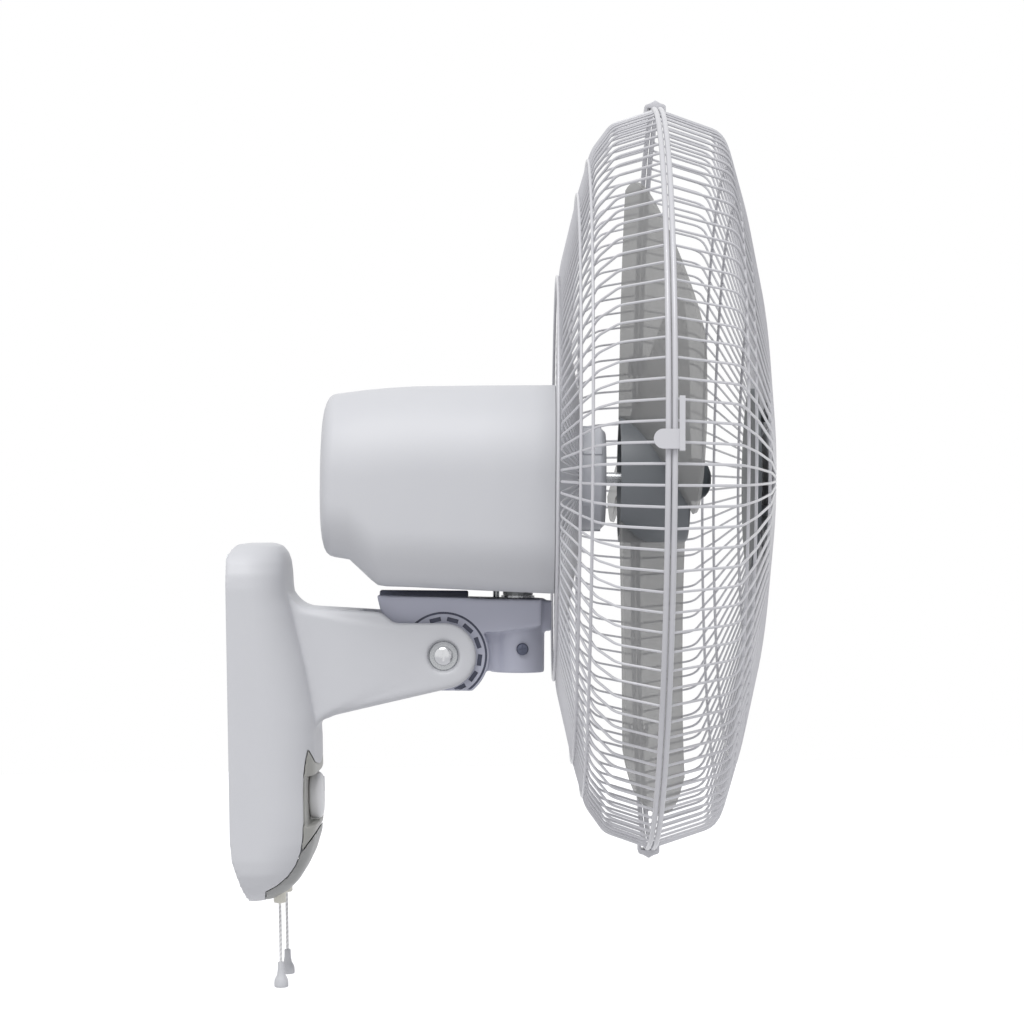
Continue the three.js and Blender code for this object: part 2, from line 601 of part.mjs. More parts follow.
place('swivel_shaft', build([barZ(swivelR, bossBottom + 1, shaftTop, 0, -swivelF, 20)], [groove]),
  steel, head);

const crankPlateLow = 48.9;
const crankPlateThick = 2;
const crankGearLow = crankPlateLow + crankPlateThick + gap;
const gearThick = 5;
const crankGearR = (gearModule * crankTeeth) / 2;
const pinionR = (gearModule * pinionTeeth) / 2;
const wheelR = (wheelModule * wheelTeeth) / 2;
const gearSpacing = crankGearR + pinionR + 0.2;
const wheelX = -(wormPitchR + wheelR);
const wheelY = -crankF + Math.sqrt(gearSpacing ** 2 - wheelX ** 2);
const legX = crankGearR + 2.6;
const rearShield = [
  ringOf(shieldR, shaftR + runGap, rearShieldF, rearShieldF + shieldThick, 24),
  ringOf(shieldR, shieldR - 4, rearShieldF + 1, statorRear - gap, 24),
  ringOf(bearingR + 4, bearingR + gap, rearShieldF + 1, rearShieldF + 9, 20),
  ...[-1, 1].map((side) => block(
    [side * legX, -rearShieldF - shieldThick, crankPlateLow + crankPlateThick + gap],
    [side * (legX + 4), -rearShieldF, fanAxis - 30]))];
place('rear_shield', build(rearShield), castAlloy, head);
const bearing = (f0) => build([ringOf(bearingR, shaftR + gap, f0, f0 + bearingLong, 16)]);
place('bearing_front', bearing(frontShieldF - gap - bearingLong), brass, head);
place('bearing_rear', bearing(rearShieldF + shieldThick + gap), brass, head);

// ---- gears of the swing drive ----------------------------------------------------------------
// A spur gear outline with one tooth centred on the angle given.
function gearShape(teeth, module, phase) {
  const pitchR = (module * teeth) / 2;
  const step = (2 * Math.PI) / teeth;
  const points = [];
  for (let i = 0; i < teeth; i += 1) {
    const middle = phase + i * step;
    const corners = [[-0.27, -1.05], [-0.12, 0.75], [0.12, 0.75], [0.27, -1.05]];
    for (const [share, height] of corners) {
      const r = pitchR + height * module;
      points.push([r * Math.cos(middle + share * step), r * Math.sin(middle + share * step)]);
    }
  }
  return outline(points);
}

const mesh = Math.atan2(wheelY + crankF, wheelX);     // from the crank gear towards the pinion
const halfTooth = Math.PI / crankTeeth;
const crankGear = upwards(gearShape(crankTeeth, gearModule, mesh + halfTooth), 0, gearThick)
  .translate(0, -crankF, crankGearLow);
const crankDiscLow = 46.4;
const crankShaftR = 4;
place('crank_gear', build([crankGear,
  barZ(crankShaftR, crankDiscLow + 1, crankGearLow + 1, 0, -crankF, 16),
  barZ(crankR + 3.4, crankDiscLow, crankPlateLow - gap, 0, -crankF, 20),
  barZ(2.4, linkLow + linkThick + gap, crankDiscLow + 1, pinX, pinY, 10)]), nylon, head);
const wheelLow = fanAxis - 2;
const wheelHigh = fanAxis + 2;
const wheelShape = gearShape(wheelTeeth, wheelModule, Math.PI / wheelTeeth);
const pinionShape = gearShape(pinionTeeth, gearModule, mesh + Math.PI);
place('worm_wheel', build([
  upwards(wheelShape, wheelLow, wheelHigh).translate(wheelX, wheelY, 0),
  upwards(pinionShape, crankGearLow, crankGearLow + gearThick + 1).translate(wheelX, wheelY, 0),
  barZ(2.5, crankGearLow + 1, fanAxis + 9, wheelX, wheelY, 12)]), nylon, head);

// Motor shaft with its worm at the rear end, a cross hole for the blade's pin at the front.
const wormLead = Math.PI * wheelModule;
function wormThread(turns, stepsPerTurn) {
  const rings = [];
  const [rootR, tipR, rootHalf, tipHalf] = [shaftR - 0.3, wormPitchR + 0.55, 0.62, 0.28];
  for (let i = 0; i <= turns * stepsPerTurn; i += 1) {
    const turn = (i / stepsPerTurn - turns / 2) * 2 * Math.PI - Math.PI / 2;
    const y = wheelY + (wormLead * (turn + Math.PI / 2)) / (2 * Math.PI);
    const section = [[rootR, -rootHalf], [tipR, -tipHalf], [tipR, tipHalf], [rootR, rootHalf]];
    rings.push(section.map(([r, dy]) => (
      new THREE.Vector3(r * Math.sin(turn), y + dy, fanAxis + r * Math.cos(turn)))));
  }
  return loft(rings);
}
const shaftRear = -52;
const shaftFront = 150;
const pinF = 107.4;
const pinR = 1.5;
place('motor_shaft', build([barF(shaftR, shaftRear, shaftFront, 0, fanAxis, 16), wormThread(3, 12)],
  [barX(pinR + gap, -9, 9, -pinF, fanAxis, 10)]), steel, head);

const caseRear = wheelY + 19;
const caseFrontY = -rearShieldF + gap;
const caseOuter = block(
  [wheelX - wheelR - 4.5, caseFrontY, crankPlateLow + 17], [11, caseRear, fanAxis + 14]);
const caseInner = block(
  [wheelX - wheelR - 2.2, caseFrontY + 2, crankPlateLow], [8.6, caseRear - 2.4, fanAxis + 10.5]);
place('gear_case', build([caseOuter], [caseInner, barF(wormPitchR + 1.6, -40, 0, 0, fanAxis, 12),
  barZ(2.5 + gap, fanAxis, fanAxis + 11, wheelX, wheelY, 10)]), castAlloy, head);
const gearPlateShape = outline([
  [-36, -12], [36, -12], [36, 16], [24, wheelY + 4], [-26, wheelY + 4], [-36, 16]]);
place('gear_plate', build([upwards(gearPlateShape, crankPlateLow, crankPlateLow + crankPlateThick)],
  [barZ(crankShaftR + gap, 40, 60, 0, -crankF, 16)]), zinc, head);

// ---- guards -----------------------------------------------------------------------------------
// A dished lattice of straight spokes and flat rings. Each station is a ring: [radius, forward, width,
// lie]. A flat ring lies square to the blade axis, an upright one is a hoop, and others follow the dish.
function lattice(stations, thick) {
  const rows = [];
  stations.forEach(([r, f, band, lie], i) => {
    const [r0, f0] = stations[Math.max(0, i - 1)];
    const [r1, f1] = stations[Math.min(stations.length - 1, i + 1)];
    const length = Math.hypot(r1 - r0, f1 - f0);
    const lies = { flat: [-1, 0], upright: [0, Math.sign(f1 - f0)] };
    const [tr, tf] = lies[lie] ?? [(r1 - r0) / length, (f1 - f0) / length];
    for (const end of [-band / 2, band / 2]) rows.push([r + tr * end, f + tf * end, -tf, tr]);
  });
  const columns = 2 * spokes;
  const points = [];
  for (const [r, f, nr, nf] of rows) {
    const half = Math.asin(wire / 2 / r);
    for (let c = 0; c < columns; c += 1) {
      const angle = (Math.floor(c / 2) * 2 * Math.PI) / spokes + (c % 2 ? half : -half);
      for (const side of [-thick / 2, thick / 2]) {
        const radius = r + nr * side;
        points.push(new THREE.Vector3(
          radius * Math.cos(angle), -(f + nf * side), fanAxis + radius * Math.sin(angle)));
      }
    }
  }
  const at = (k, c, side) => 2 * (k * columns + (c % columns)) + side;
  const filled = (k, c) => k >= 0 && k < rows.length - 1 && (k % 2 === 0 || (c + columns) % 2 === 0);
  const index = [];
  const quad = (a, b, c, d) => index.push(a, b, c, a, c, d);
  for (let k = 0; k < rows.length - 1; k += 1) {
    for (let c = 0; c < columns; c += 1) {
      if (!filled(k, c)) continue;
      const pair = (row, column) => [at(row, column, 0), at(row, column, 1)];
      const [low, lowNext] = [pair(k, c), pair(k, c + 1)];
      const [high, highNext] = [pair(k + 1, c), pair(k + 1, c + 1)];
      quad(low[1], lowNext[1], highNext[1], high[1]);
      quad(low[0], high[0], highNext[0], lowNext[0]);
      if (!filled(k - 1, c)) quad(low[0], lowNext[0], lowNext[1], low[1]);
      if (!filled(k + 1, c)) quad(high[1], highNext[1], highNext[0], high[0]);
      if (!filled(k, c - 1)) quad(low[1], high[1], high[0], low[0]);
      if (!filled(k, c + 1)) quad(lowNext[0], highNext[0], highNext[1], lowNext[1]);
    }
  }
  return tidy(new THREE.BufferGeometry().setFromPoints(points).setIndex(index));
}

const guardFrontF = rimF + frontDepth;
const inFront = ({ inset, depth }) => [rimR - inset, rimF + depth, wire];
const behind = ({ inset, depth }) => [rimR - inset, rimF - depth, wire];
const plateF = seatF + gap + wireDepth / 2;
const plateBand = plateR + 1 - collarR - runGap;
const plateMid = collarR + runGap + plateBand / 2;
place('rear_guard', lattice([
  [rimR, rimF - rimHalf, rimBand, 'upright'],
  ...[rearShoulder, rearBend, rearSlope].map(behind),
  [plateMid, plateF, plateBand, 'flat']], wireDepth), wireGrey, head);
place('front_guard', lattice([
  [rimR, rimF + rimHalf, rimBand, 'upright'],
  ...[frontShoulder, frontBend, frontSlope].map(inFront),
  [capR + 10, guardFrontF, 18, 'flat']], wireDepth), wireGrey, head);

// Guard nut with grip ribs, screwed on the collar.
const nutRear = plateF + wireDepth / 2 + gap;
const nutFront = 95.6;
const nutProfile = [
  [collarR + gap, nutRear], [nutR, nutRear], [nutR, nutFront - 3], [nutR - 3, nutFront],
  [collarR - 6, nutFront], [collarR - 6, seatF + 14.3], [collarR + gap, seatF + 14.3]];
const nutRibs = [];
for (let i = 0; i < 6; i += 1) {
  const rib = block([-2.2, -nutFront + 2.6, nutR - 1], [2.2, -nutRear - 1, nutR + 1.6]);
  nutRibs.push(rib.rotateY((i * Math.PI) / 3).translate(0, 0, fanAxis));
}
place('guard_nut', build([turned(nutProfile, 24), ...nutRibs]), nutGrey, head);

// Badge disc inside the front guard, on three posts, and the small cap in front of the wires.
const badgeF = guardFrontF - 11;
const badgePosts = [0, 1, 2].map((i) => barF(3, badgeF, guardFrontF - wireDepth / 2 - gap,
  postRing * Math.cos((i * 2 * Math.PI) / 3 - 0.55),
  fanAxis + postRing * Math.sin((i * 2 * Math.PI) / 3 - 0.55), 8));
place('badge_disc', build([
  turned([[0, badgeF - 1], [badgeR, badgeF - 1], [badgeR, badgeF + 2.4], [badgeR - 1.6, badgeF + 2.4],
    [badgeR - 1.6, badgeF + 1], [0, badgeF + 1]], 30), ...badgePosts]), darkGrey, head);
place('badge_cap', build([turned([
  [0, guardFrontF - 3], [capR - 1, guardFrontF - 3], [capR, guardFrontF - 2], [capR, guardFrontF + 0.6],
  [capR - 3, guardFrontF + 2.2], [0, guardFrontF + 3]], 24)]), ivory, head);

// Rim clips: a channel over both rims, between two spokes.
const between = (degrees) => ((Math.floor((degrees * spokes) / 360) + 0.5) * 360) / spokes;
const clipTurns = [90, 270, 317, 20].map(between);
// The rims are straight between two spokes, and that side is where the clips and the latch sit.
const rimOut = (rimR + wireDepth / 2) * Math.cos(Math.PI / spokes - Math.asin(wire / 2 / rimR));
const clipHalf = 7;
const clipReach = 5;             // how far its legs reach in over the rims
clipTurns.forEach((degrees, i) => {
  const half = [[4.6, rimOut + gap], [4.6, rimOut - clipReach], [6.4, rimOut - clipReach],
    [6.4, rimOut + 1.6], [3, rimOut + 3.4]];
  const shell = [...half, [0, rimOut + 5.2], ...half.map(([a, r]) => [-a, r]).reverse()];
  const clip = acrossX(outline(shell), -clipHalf, clipHalf);
  clip.rotateY(THREE.MathUtils.degToRad(90 - degrees));
  place(`rim_clip_${i + 1}`, tidy(clip.translate(0, -rimF, fanAxis)), wireGrey, head);
});

// Latch on the near side: a bar beside the front rim with a tab that hooks back over both rims.
const latchTurn = between(173);
const latchLong = 14.5;
const latchBarF = 5.3;
const latchInner = rimOut + gap;
const latch = [
  block([-latchLong, -latchBarF - 1.5, latchInner], [latchLong, -latchBarF + 1.5, latchInner + 3.4]),
  block([-latchLong + 1, -latchBarF, latchInner], [-latchLong + 11.5, 4.4, latchInner + 2.2]),
  barZ(5.25, latchInner, latchInner + 2.2, -latchLong + 6.25, 4.4, 12)];
const latchShape = build(latch).rotateY(THREE.MathUtils.degToRad(90 - latchTurn));
place('rim_latch', latchShape.translate(0, -rimF, fanAxis), wireGrey, head);

// ---- blade rotor --------------------------------------------------------------------------------
// Angles are turned from straight up towards -X. The rear edge leads, the front edge trails.
const rearRoot = 12;
const rearTip = 27;
const frontRoot = 118;
const frontTip = 70;
const bladeThick = 2.2;
function blade(turnBy) {
  const [across, out] = [7, 6];
  const skin = (side) => {
    const grid = [];
    for (let i = 0; i <= out; i += 1) {
      for (let j = 0; j <= across; j += 1) {
        const t = j / across;
        const reach = bladeR - 16 * Math.abs(2 * t - 1) ** 5;
        const share = i / out;
        const r = hubR - 1.6 + (reach - hubR + 1.6) * share;
        const rear = THREE.MathUtils.lerp(rearRoot, rearTip, share) - 12 * share * (1 - share);
        const front = THREE.MathUtils.lerp(frontRoot, frontTip, share);
        const angle = THREE.MathUtils.degToRad(THREE.MathUtils.lerp(rear, front, t) + turnBy);
        const middle = THREE.MathUtils.lerp(bladeRear, bladeFront, t);
        const f = middle + (side * bladeThick) / 2;
        grid.push(new THREE.Vector3(-r * Math.sin(angle), -f, fanAxis + r * Math.cos(angle)));
      }
    }
    return grid;
  };
  const rows = out + 1;
  const columns = across + 1;
  const half = rows * columns;
  const index = [];
  const quad = (a, b, c, d) => index.push(a, b, c, a, c, d);
  for (let i = 0; i < out; i += 1) {
    for (let j = 0; j < across; j += 1) {
      const a = i * columns + j;
      quad(a, a + 1, a + columns + 1, a + columns);
      quad(half + a, half + a + columns, half + a + columns + 1, half + a + 1);
    }
    const [left, right] = [i * columns, i * columns + across];
    quad(left, left + columns, half + left + columns, half + left);
    quad(right, half + right, half + right + columns, right + columns);
  }
  for (let j = 0; j < across; j += 1) {
    const [low, high] = [j, out * columns + j];
    quad(low, half + low, half + low + 1, low + 1);
    quad(high, high + 1, half + high + 1, half + high);
  }
  return new THREE.BufferGeometry().setFromPoints([...skin(-1), ...skin(1)]).setIndex(index);
}
const hubProfile = [
  [shaftR + gap, pinF + pinR + gap], [10, pinF + pinR + gap], [10, hubFront - 3], [hubR - 3, hubFront - 3],
  [hubR - 3, bladeRear], [hubR, bladeRear], [hubR, hubFront - 2], [hubR - 2, hubFront],
  [shaftR + gap, hubFront]];
place('fan_blade', build([turned(hubProfile, 28), blade(0), blade(120), blade(240)]), smoke, head);
place('drive_pin', build([barX(pinR, -9, 9, -pinF, fanAxis, 10)]), steel, head);
place('spinner_nut', build([turned([[shaftR + gap, hubFront + gap], [13, hubFront + gap], [13, hubFront + 6],
  [10, hubFront + 11], [5, hubFront + 13.4], [0, hubFront + 14], [0, shaftFront + gap],
  [shaftR + gap, shaftFront + gap]], 20)]), darkGrey, head);

export default fan;
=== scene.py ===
"""Wall mounted fan: a tilting, swinging head with guards and broad blades on a slim wall base.

Metres in the end; each section works in millimetres. +Z is up, the wall is the plane Y = 0 and the
air flows to -Y. Head pieces are made in the head's own frame: x to the side, f forward of the tilt
axis (-y) and z over it.
"""
import json
import math

import bmesh
import bpy
from mathutils import Matrix, Vector


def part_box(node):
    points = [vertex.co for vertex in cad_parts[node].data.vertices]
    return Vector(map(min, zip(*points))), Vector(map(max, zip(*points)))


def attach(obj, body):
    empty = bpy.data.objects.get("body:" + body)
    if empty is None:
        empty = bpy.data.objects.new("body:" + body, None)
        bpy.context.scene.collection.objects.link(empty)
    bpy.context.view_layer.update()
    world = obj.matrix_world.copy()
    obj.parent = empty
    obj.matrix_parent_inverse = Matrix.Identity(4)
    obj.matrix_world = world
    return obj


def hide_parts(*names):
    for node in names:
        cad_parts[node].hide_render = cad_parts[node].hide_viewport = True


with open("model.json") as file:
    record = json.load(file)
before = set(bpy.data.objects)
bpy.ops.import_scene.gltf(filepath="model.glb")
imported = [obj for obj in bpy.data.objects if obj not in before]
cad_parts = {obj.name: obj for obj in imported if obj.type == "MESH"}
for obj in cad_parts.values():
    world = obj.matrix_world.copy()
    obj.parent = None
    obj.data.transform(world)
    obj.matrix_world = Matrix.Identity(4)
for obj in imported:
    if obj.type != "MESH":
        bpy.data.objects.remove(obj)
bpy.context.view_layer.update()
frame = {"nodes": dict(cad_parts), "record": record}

# ---- camera ---------------------------------------------------------------------------------------
# Seen square from the side, level with the lower part of the motor, as a long lens sees it. The
# camera is rolled a little, so that the base leans to the left in the picture.
camera_data = bpy.data.cameras.new("camera")
camera_data.lens = 101.3
camera = bpy.data.objects.new("camera", camera_data)
camera_roll = math.radians(1.0)
camera_turn = Matrix((
    (0, 0, -1),
    (-math.cos(camera_roll), -math.sin(camera_roll), 0),
    (-math.sin(camera_roll), math.cos(camera_roll), 0)))
camera.matrix_world = Matrix.Translation((-1.732, -0.1675, 0.118)) @ camera_turn.to_4x4()
bpy.context.scene.collection.objects.link(camera)
bpy.context.scene.camera = camera

# ---- pull cords -----------------------------------------------------------------------------------
# Two thin braided nylon cords, each from its pull switch in the base, down through a bushing to a
# small bell. They hang straight under the bell's weight.
MM = 0.001


def to_linear(hex_colour):
    channels = [int(hex_colour[i:i + 2], 16) / 255 for i in (1, 3, 5)]
    linear = [c / 12.92 if c <= 0.04045 else ((c + 0.055) / 1.055) ** 2.4 for c in channels]
    return (*linear, 1)


def add_node(tree, kind, inputs=None, **settings):
    node = tree.nodes.new(kind)
    for name, value in settings.items():
        setattr(node, name, value)
    for name, value in (inputs or {}).items():
        if isinstance(value, bpy.types.NodeSocket):
            tree.links.new(value, node.inputs[name])
        else:
            node.inputs[name].default_value = value
    return node


def start_material(name):
    """An empty node material, with its tree and the Object coordinates that its patterns read."""
    material = bpy.data.materials.new(name)
    material.use_nodes = True
    tree = material.node_tree
    tree.nodes.clear()
    place = add_node(tree, "ShaderNodeTexCoord").outputs["Object"]
    return material, tree, place


def end_material(tree, shader):
    add_node(tree, "ShaderNodeOutputMaterial", {"Surface": shader.outputs[0]})


# Braided nylon: white, soft sheen, with the braid's slanting strands 0.7 mm apart.
braided_nylon, tree, place = start_material("braided_nylon")
strands = add_node(tree, "ShaderNodeTexWave", {
    "Vector": place, "Scale": 1 / (0.7 * MM) / 20 * math.pi, "Distortion": 1.5}, bands_direction="DIAGONAL")
braid_colour = add_node(tree, "ShaderNodeMix", {
    "Factor": strands.outputs["Fac"], 6: to_linear("#d8d8d8"), 7: to_linear("#f6f6f6")}, data_type="RGBA")
braid_bump = add_node(tree, "ShaderNodeBump", {
    "Height": strands.outputs["Fac"], "Strength": 0.5, "Distance": 0.1 * MM})
end_material(tree, add_node(tree, "ShaderNodeBsdfPrincipled", {
    "Base Color": braid_colour.outputs[2], "Roughness": 0.6, "Normal": braid_bump.outputs[0],
    "Sheen Weight": 0.3}))

cord_side = 25
cord_y = -26
cord_top = -84.3
cord_radius = 0.8
for side, hand in ((-1, "left"), (1, "right")):
    cord_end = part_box(f"pull_knob_{hand}")[1][2] / MM + 0.3
    curve = bpy.data.curves.new(f"cord_{hand}", "CURVE")
    curve.dimensions = "3D"
    curve.bevel_depth = cord_radius * MM
    curve.bevel_resolution = 2
    curve.use_fill_caps = True
    spline = curve.splines.new("POLY")
    cord_steps = 24
    spline.points.add(cord_steps)
    for i, point in enumerate(spline.points):
        height = cord_top + (cord_end - cord_top) * i / cord_steps
        point.co = (side * cord_side * MM, cord_y * MM, height * MM, 1)
    cord = bpy.data.objects.new(f"cord_{hand}", curve)
    bpy.context.scene.collection.objects.link(cord)
    curve.materials.append(braided_nylon)
    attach(cord, f"pull_{hand}")
    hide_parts(f"pull_cord_{hand}")

# ---- pull bells -----------------------------------------------------------------------------------
# A small moulded bell on the end of each cord, wide at the bottom, that the hand takes hold of.


def turned_solid(profile, steps=32):
    """A closed solid from a profile of [radius, height] that starts and ends on the axis, turned round Z."""
    bm = bmesh.new()
    points = [bm.verts.new((radius, 0, height)) for radius, height in profile]
    edges = [bm.edges.new(pair) for pair in zip(points, points[1:])]
    if profile[0][0] > 0:
        edges.append(bm.edges.new((points[-1], points[0])))
    bmesh.ops.spin(
        bm, geom=points + edges, cent=(0, 0, 0), axis=(0, 0, 1), angle=math.tau, steps=steps,
        use_merge=True, use_duplicate=False)
    bmesh.ops.remove_doubles(bm, verts=bm.verts, dist=1e-4)
    bmesh.ops.dissolve_degenerate(bm, edges=bm.edges, dist=1e-4)
    bmesh.ops.recalc_face_normals(bm, faces=bm.faces)
    return bm


def soften(bm, width, segments=3, over=30):
    """Rounds every edge that turns more than the angle given, as a moulded or dressed edge is."""
    sharp = [
        e for e in bm.edges
        if e.is_manifold and e.calc_face_angle(0) > math.radians(over)]
    bmesh.ops.bevel(
        bm, geom=sharp, offset=width, segments=segments, profile=0.5, affect="EDGES", clamp_overlap=True,
        material=-1)


def piece_from(bm, name, material, body, nodes=(), turn=None, smooth=35):
    """Makes a piece of a bmesh in millimetres, moves it to its place and lets it ride on its body."""
    bmesh.ops.transform(bm, matrix=Matrix.Scale(MM, 4) @ (turn or Matrix()), verts=bm.verts)
    mesh = bpy.data.meshes.new(name)
    bm.to_mesh(mesh)
    bm.free()
    mesh.shade_smooth()
    mesh.set_sharp_from_angle(angle=math.radians(smooth))
    mesh.materials.append(material)
    piece = bpy.data.objects.new(name, mesh)
    bpy.context.scene.collection.objects.link(piece)
    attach(piece, body)
    if nodes:
        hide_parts(*nodes)
    return piece


# Moulded ABS, light grey with a cool cast: an even satin skin with a fine spark-eroded grain of
# 0.5 mm, and a trace of lighter and darker flow in the colour.
def moulded(name, light, dark, roughness, grain=0.5, depth=0.03):
    material, tree, place = start_material(name)
    flow = add_node(tree, "ShaderNodeTexNoise", {"Vector": place, "Scale": 1 / (45 * MM), "Detail": 2})
    colour = add_node(tree, "ShaderNodeMix", {
        "Factor": flow.outputs["Fac"], 6: to_linear(dark), 7: to_linear(light)}, data_type="RGBA")
    skin = add_node(tree, "ShaderNodeTexNoise", {
        "Vector": place, "Scale": 1 / (grain * MM), "Detail": 1})
    shine = add_node(tree, "ShaderNodeMapRange", {
        "Value": flow.outputs["Fac"], "To Min": roughness - 0.05, "To Max": roughness + 0.05})
    bump = add_node(tree, "ShaderNodeBump", {
        "Height": skin.outputs["Fac"], "Strength": 0.35, "Distance": depth * MM})
    end_material(tree, add_node(tree, "ShaderNodeBsdfPrincipled", {
        "Base Color": colour.outputs[2], "Roughness": shine.outputs[0], "IOR": 1.54,
        "Normal": bump.outputs[0]}))
    return material


light_abs = moulded("moulded_light_grey_abs", "#d0d1d4", "#cbccd0", 0.52)
bell_profile = [
    (0, 0), (1.6, 0), (1.9, -0.5), (2.0, -4.5), (2.5, -7.6), (3.5, -9.4), (4.0, -10.6), (4.2, -12.2),
    (4.2, -14.2), (3.9, -14.8), (3.3, -15), (2.6, -14.6), (0, -14.4)]
for side, hand in ((-1, "left"), (1, "right")):
    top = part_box(f"pull_knob_{hand}")[1][2] / MM
    bell = turned_solid(bell_profile, 28)
    turn = Matrix.Translation((side * cord_side, cord_y, top))
    piece_from(bell, f"bell_{hand}", light_abs, f"pull_{hand}", [f"pull_knob_{hand}"], turn, 50)

# ---- wall plate and its fittings ------------------------------------------------------------------
# The pressed steel plate that is screwed to the wall, zinc plated, with the cover's screw, the two
# pull switches, the terminal block and the motor's capacitor held on it.


def dress(material, slot, *nodes):
    """Gives CAD nodes whose shape is right their real finish."""
    for node in nodes:
        obj = frame["nodes"][node]
        obj.data.materials.clear()
        obj.data.materials.append(material)


# A worked metal: rolled, turned or cast, with fine marks at the size given in millimetres.
def metal(name, light, dark, roughness, marks, stretch=(1, 1, 1)):
    material, tree, place = start_material(name)
    along_marks = add_node(tree, "ShaderNodeMapping", {"Vector": place, "Scale": stretch})
    grain = add_node(tree, "ShaderNodeTexNoise", {
        "Vector": along_marks.outputs[0], "Scale": 1 / (marks * MM), "Detail": 3})
    colour = add_node(tree, "ShaderNodeMix", {
        "Factor": grain.outputs["Fac"], 6: to_linear(dark), 7: to_linear(light)}, data_type="RGBA")
    shine = add_node(tree, "ShaderNodeMapRange", {
        "Value": grain.outputs["Fac"], "To Min": roughness - 0.07, "To Max": roughness + 0.07})
    bump = add_node(tree, "ShaderNodeBump", {
        "Height": grain.outputs["Fac"], "Strength": 0.2, "Distance": 0.05 * MM})
    end_material(tree, add_node(tree, "ShaderNodeBsdfPrincipled", {
        "Base Color": colour.outputs[2], "Metallic": 1, "Roughness": shine.outputs[0],
        "Normal": bump.outputs[0]}))
    return material


zinc_sheet = metal("zinc_plated_sheet_steel", "#b3b6b8", "#9a9da0", 0.38, 4)
turned_steel = metal("turned_bright_steel", "#c4c6c8", "#a6a8ab", 0.28, 0.8)
black_moulding = moulded("moulded_black_polyamide", "#2a2b2d", "#232426", 0.4)
white_nylon = moulded("moulded_natural_nylon", "#e6e4da", "#dedcd0", 0.35)
dress(zinc_sheet, "zinc_sheet", "wall_plate")
dress(turned_steel, "steel", "cover_screw")
dress(black_moulding, "black_plastic", "pull_switch_left", "pull_switch_right", "capacitor")
dress(white_nylon, "nylon", "terminal_block")

# ---- wall base cover ------------------------------------------------------------------------------
# One moulded ABS shell that hooks over the wall plate: a slim upright body with broad rounded edges,
# and the arm that grows out of it with a soft fillet and ends in a fork for the neck.
base_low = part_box("base_cover")[0] / MM
base_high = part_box("base_cover")[1] / MM
base_half_width = base_high[0]
base_corner = 26
base_wall = 3
joints = {joint["name"]: joint for joint in frame["record"]["behaviour"]["joints"]}
pivot = Vector(joints["tilt"]["pos_m"]) / MM
arm_half_width = 28
slot_half_width = 21.2

# Depth of the base's front at each height, and where its back leaves the wall.
front_line = [
    (-109, 18), (-107.5, 26), (-103, 32.5), (-98, 37.5), (-91, 42), (-83, 46), (-74, 48.8), (-62, 50),
    (-16, 50), (0, 49.2), (30, 44), (60, 37.5), (69, 35), (76, 34), (84, 33.8), (91, 33.2),
    (96, 31.8), (100, 29), (102, 24)]
back_line = [(-109, 9), (-104, 7), (-80, 0), (94, 0), (99, 2), (102, 6)]


def along(line, place):
    """The value at a place on a line of (place, value) points, read straight between them."""
    before = max((p for p in line if p[0] <= place), default=line[0])
    after = min((p for p in line if p[0] > place), default=line[-1])
    if after[0] <= before[0]:
        return before[1]
    return before[1] + (after[1] - before[1]) * (place - before[0]) / (after[0] - before[0])


def base_section(z, inset=0):
    """The base's level outline at a height, drawn in by a wall: [x, y, z] points all round."""
    rise = max(0, z - (base_high[2] - base_corner), base_low[2] + base_corner - z)
    w = base_half_width - base_corner + math.sqrt(max(0, base_corner ** 2 - rise ** 2)) - inset
    front = along(front_line, z) - inset
    back = along(back_line, z) if inset == 0 else -12
    across, deep = min(24, w * 0.55), min(28, (front - max(back, 0)) * 0.62)
    crown = 2.4
    half = [(w, back), (w, (back + front - deep) / 2)]
    for i in range(13):
        turn = i / 12 * math.pi / 2
        x = w - across + across * math.cos(turn)
        half.append((x, front - crown - deep + deep * math.sin(turn) + crown * (1 - (x / w) ** 2)))
    for share in (0.66, 0.33):
        x = (w - across) * share
        half.append((x, front - crown * (x / w) ** 2))
    ring = half + [(0, front)] + [(-x, y) for x, y in reversed(half)]
    return [(x, -y, z) for x, y in ring]


def lofted(sections):
    """A closed solid through a row of closed outlines that all have the same number of points."""
    bm = bmesh.new()
    seat = bm.verts.layers.int.new("seat")
    ring = bmesh.ops.create_circle(bm, segments=len(sections[0]), radius=1)["verts"]
    for i, vert in enumerate(ring):
        vert[seat] = i
        vert.co = sections[0][i]
    edges = list(bm.edges)
    bmesh.ops.contextual_create(bm, geom=edges)
    for points in sections[1:]:
        grown = bmesh.ops.extrude_edge_only(bm, edges=edges)["geom"]
        for vert in (g for g in grown if isinstance(g, bmesh.types.BMVert)):
            vert.co = points[vert[seat]]
        edges = [g for g in grown if isinstance(g, bmesh.types.BMEdge) and g.is_boundary]
    bmesh.ops.contextual_create(bm, geom=edges)
    bmesh.ops.recalc_face_normals(bm, faces=bm.faces)
    return bm


def slab(outline, x0, x1):
    """A [y, z] outline as a plate across X."""
    bm = bmesh.new()
    face = bm.faces.new([bm.verts.new((x0, y, z)) for y, z in outline])
    grown = bmesh.ops.extrude_face_region(bm, geom=[face])["geom"]
    bmesh.ops.translate(
        bm, vec=(x1 - x0, 0, 0), verts=[g for g in grown if isinstance(g, bmesh.types.BMVert)])
    bmesh.ops.recalc_face_normals(bm, faces=bm.faces)
    return bm


def block(low, high):
    bm = bmesh.new()
    bmesh.ops.create_cube(bm, size=1)
    size = [high[i] - low[i] for i in range(3)]
    bmesh.ops.scale(bm, vec=size, verts=bm.verts)
    bmesh.ops.translate(bm, vec=[low[i] + size[i] / 2 for i in range(3)], verts=bm.verts)
    return bm


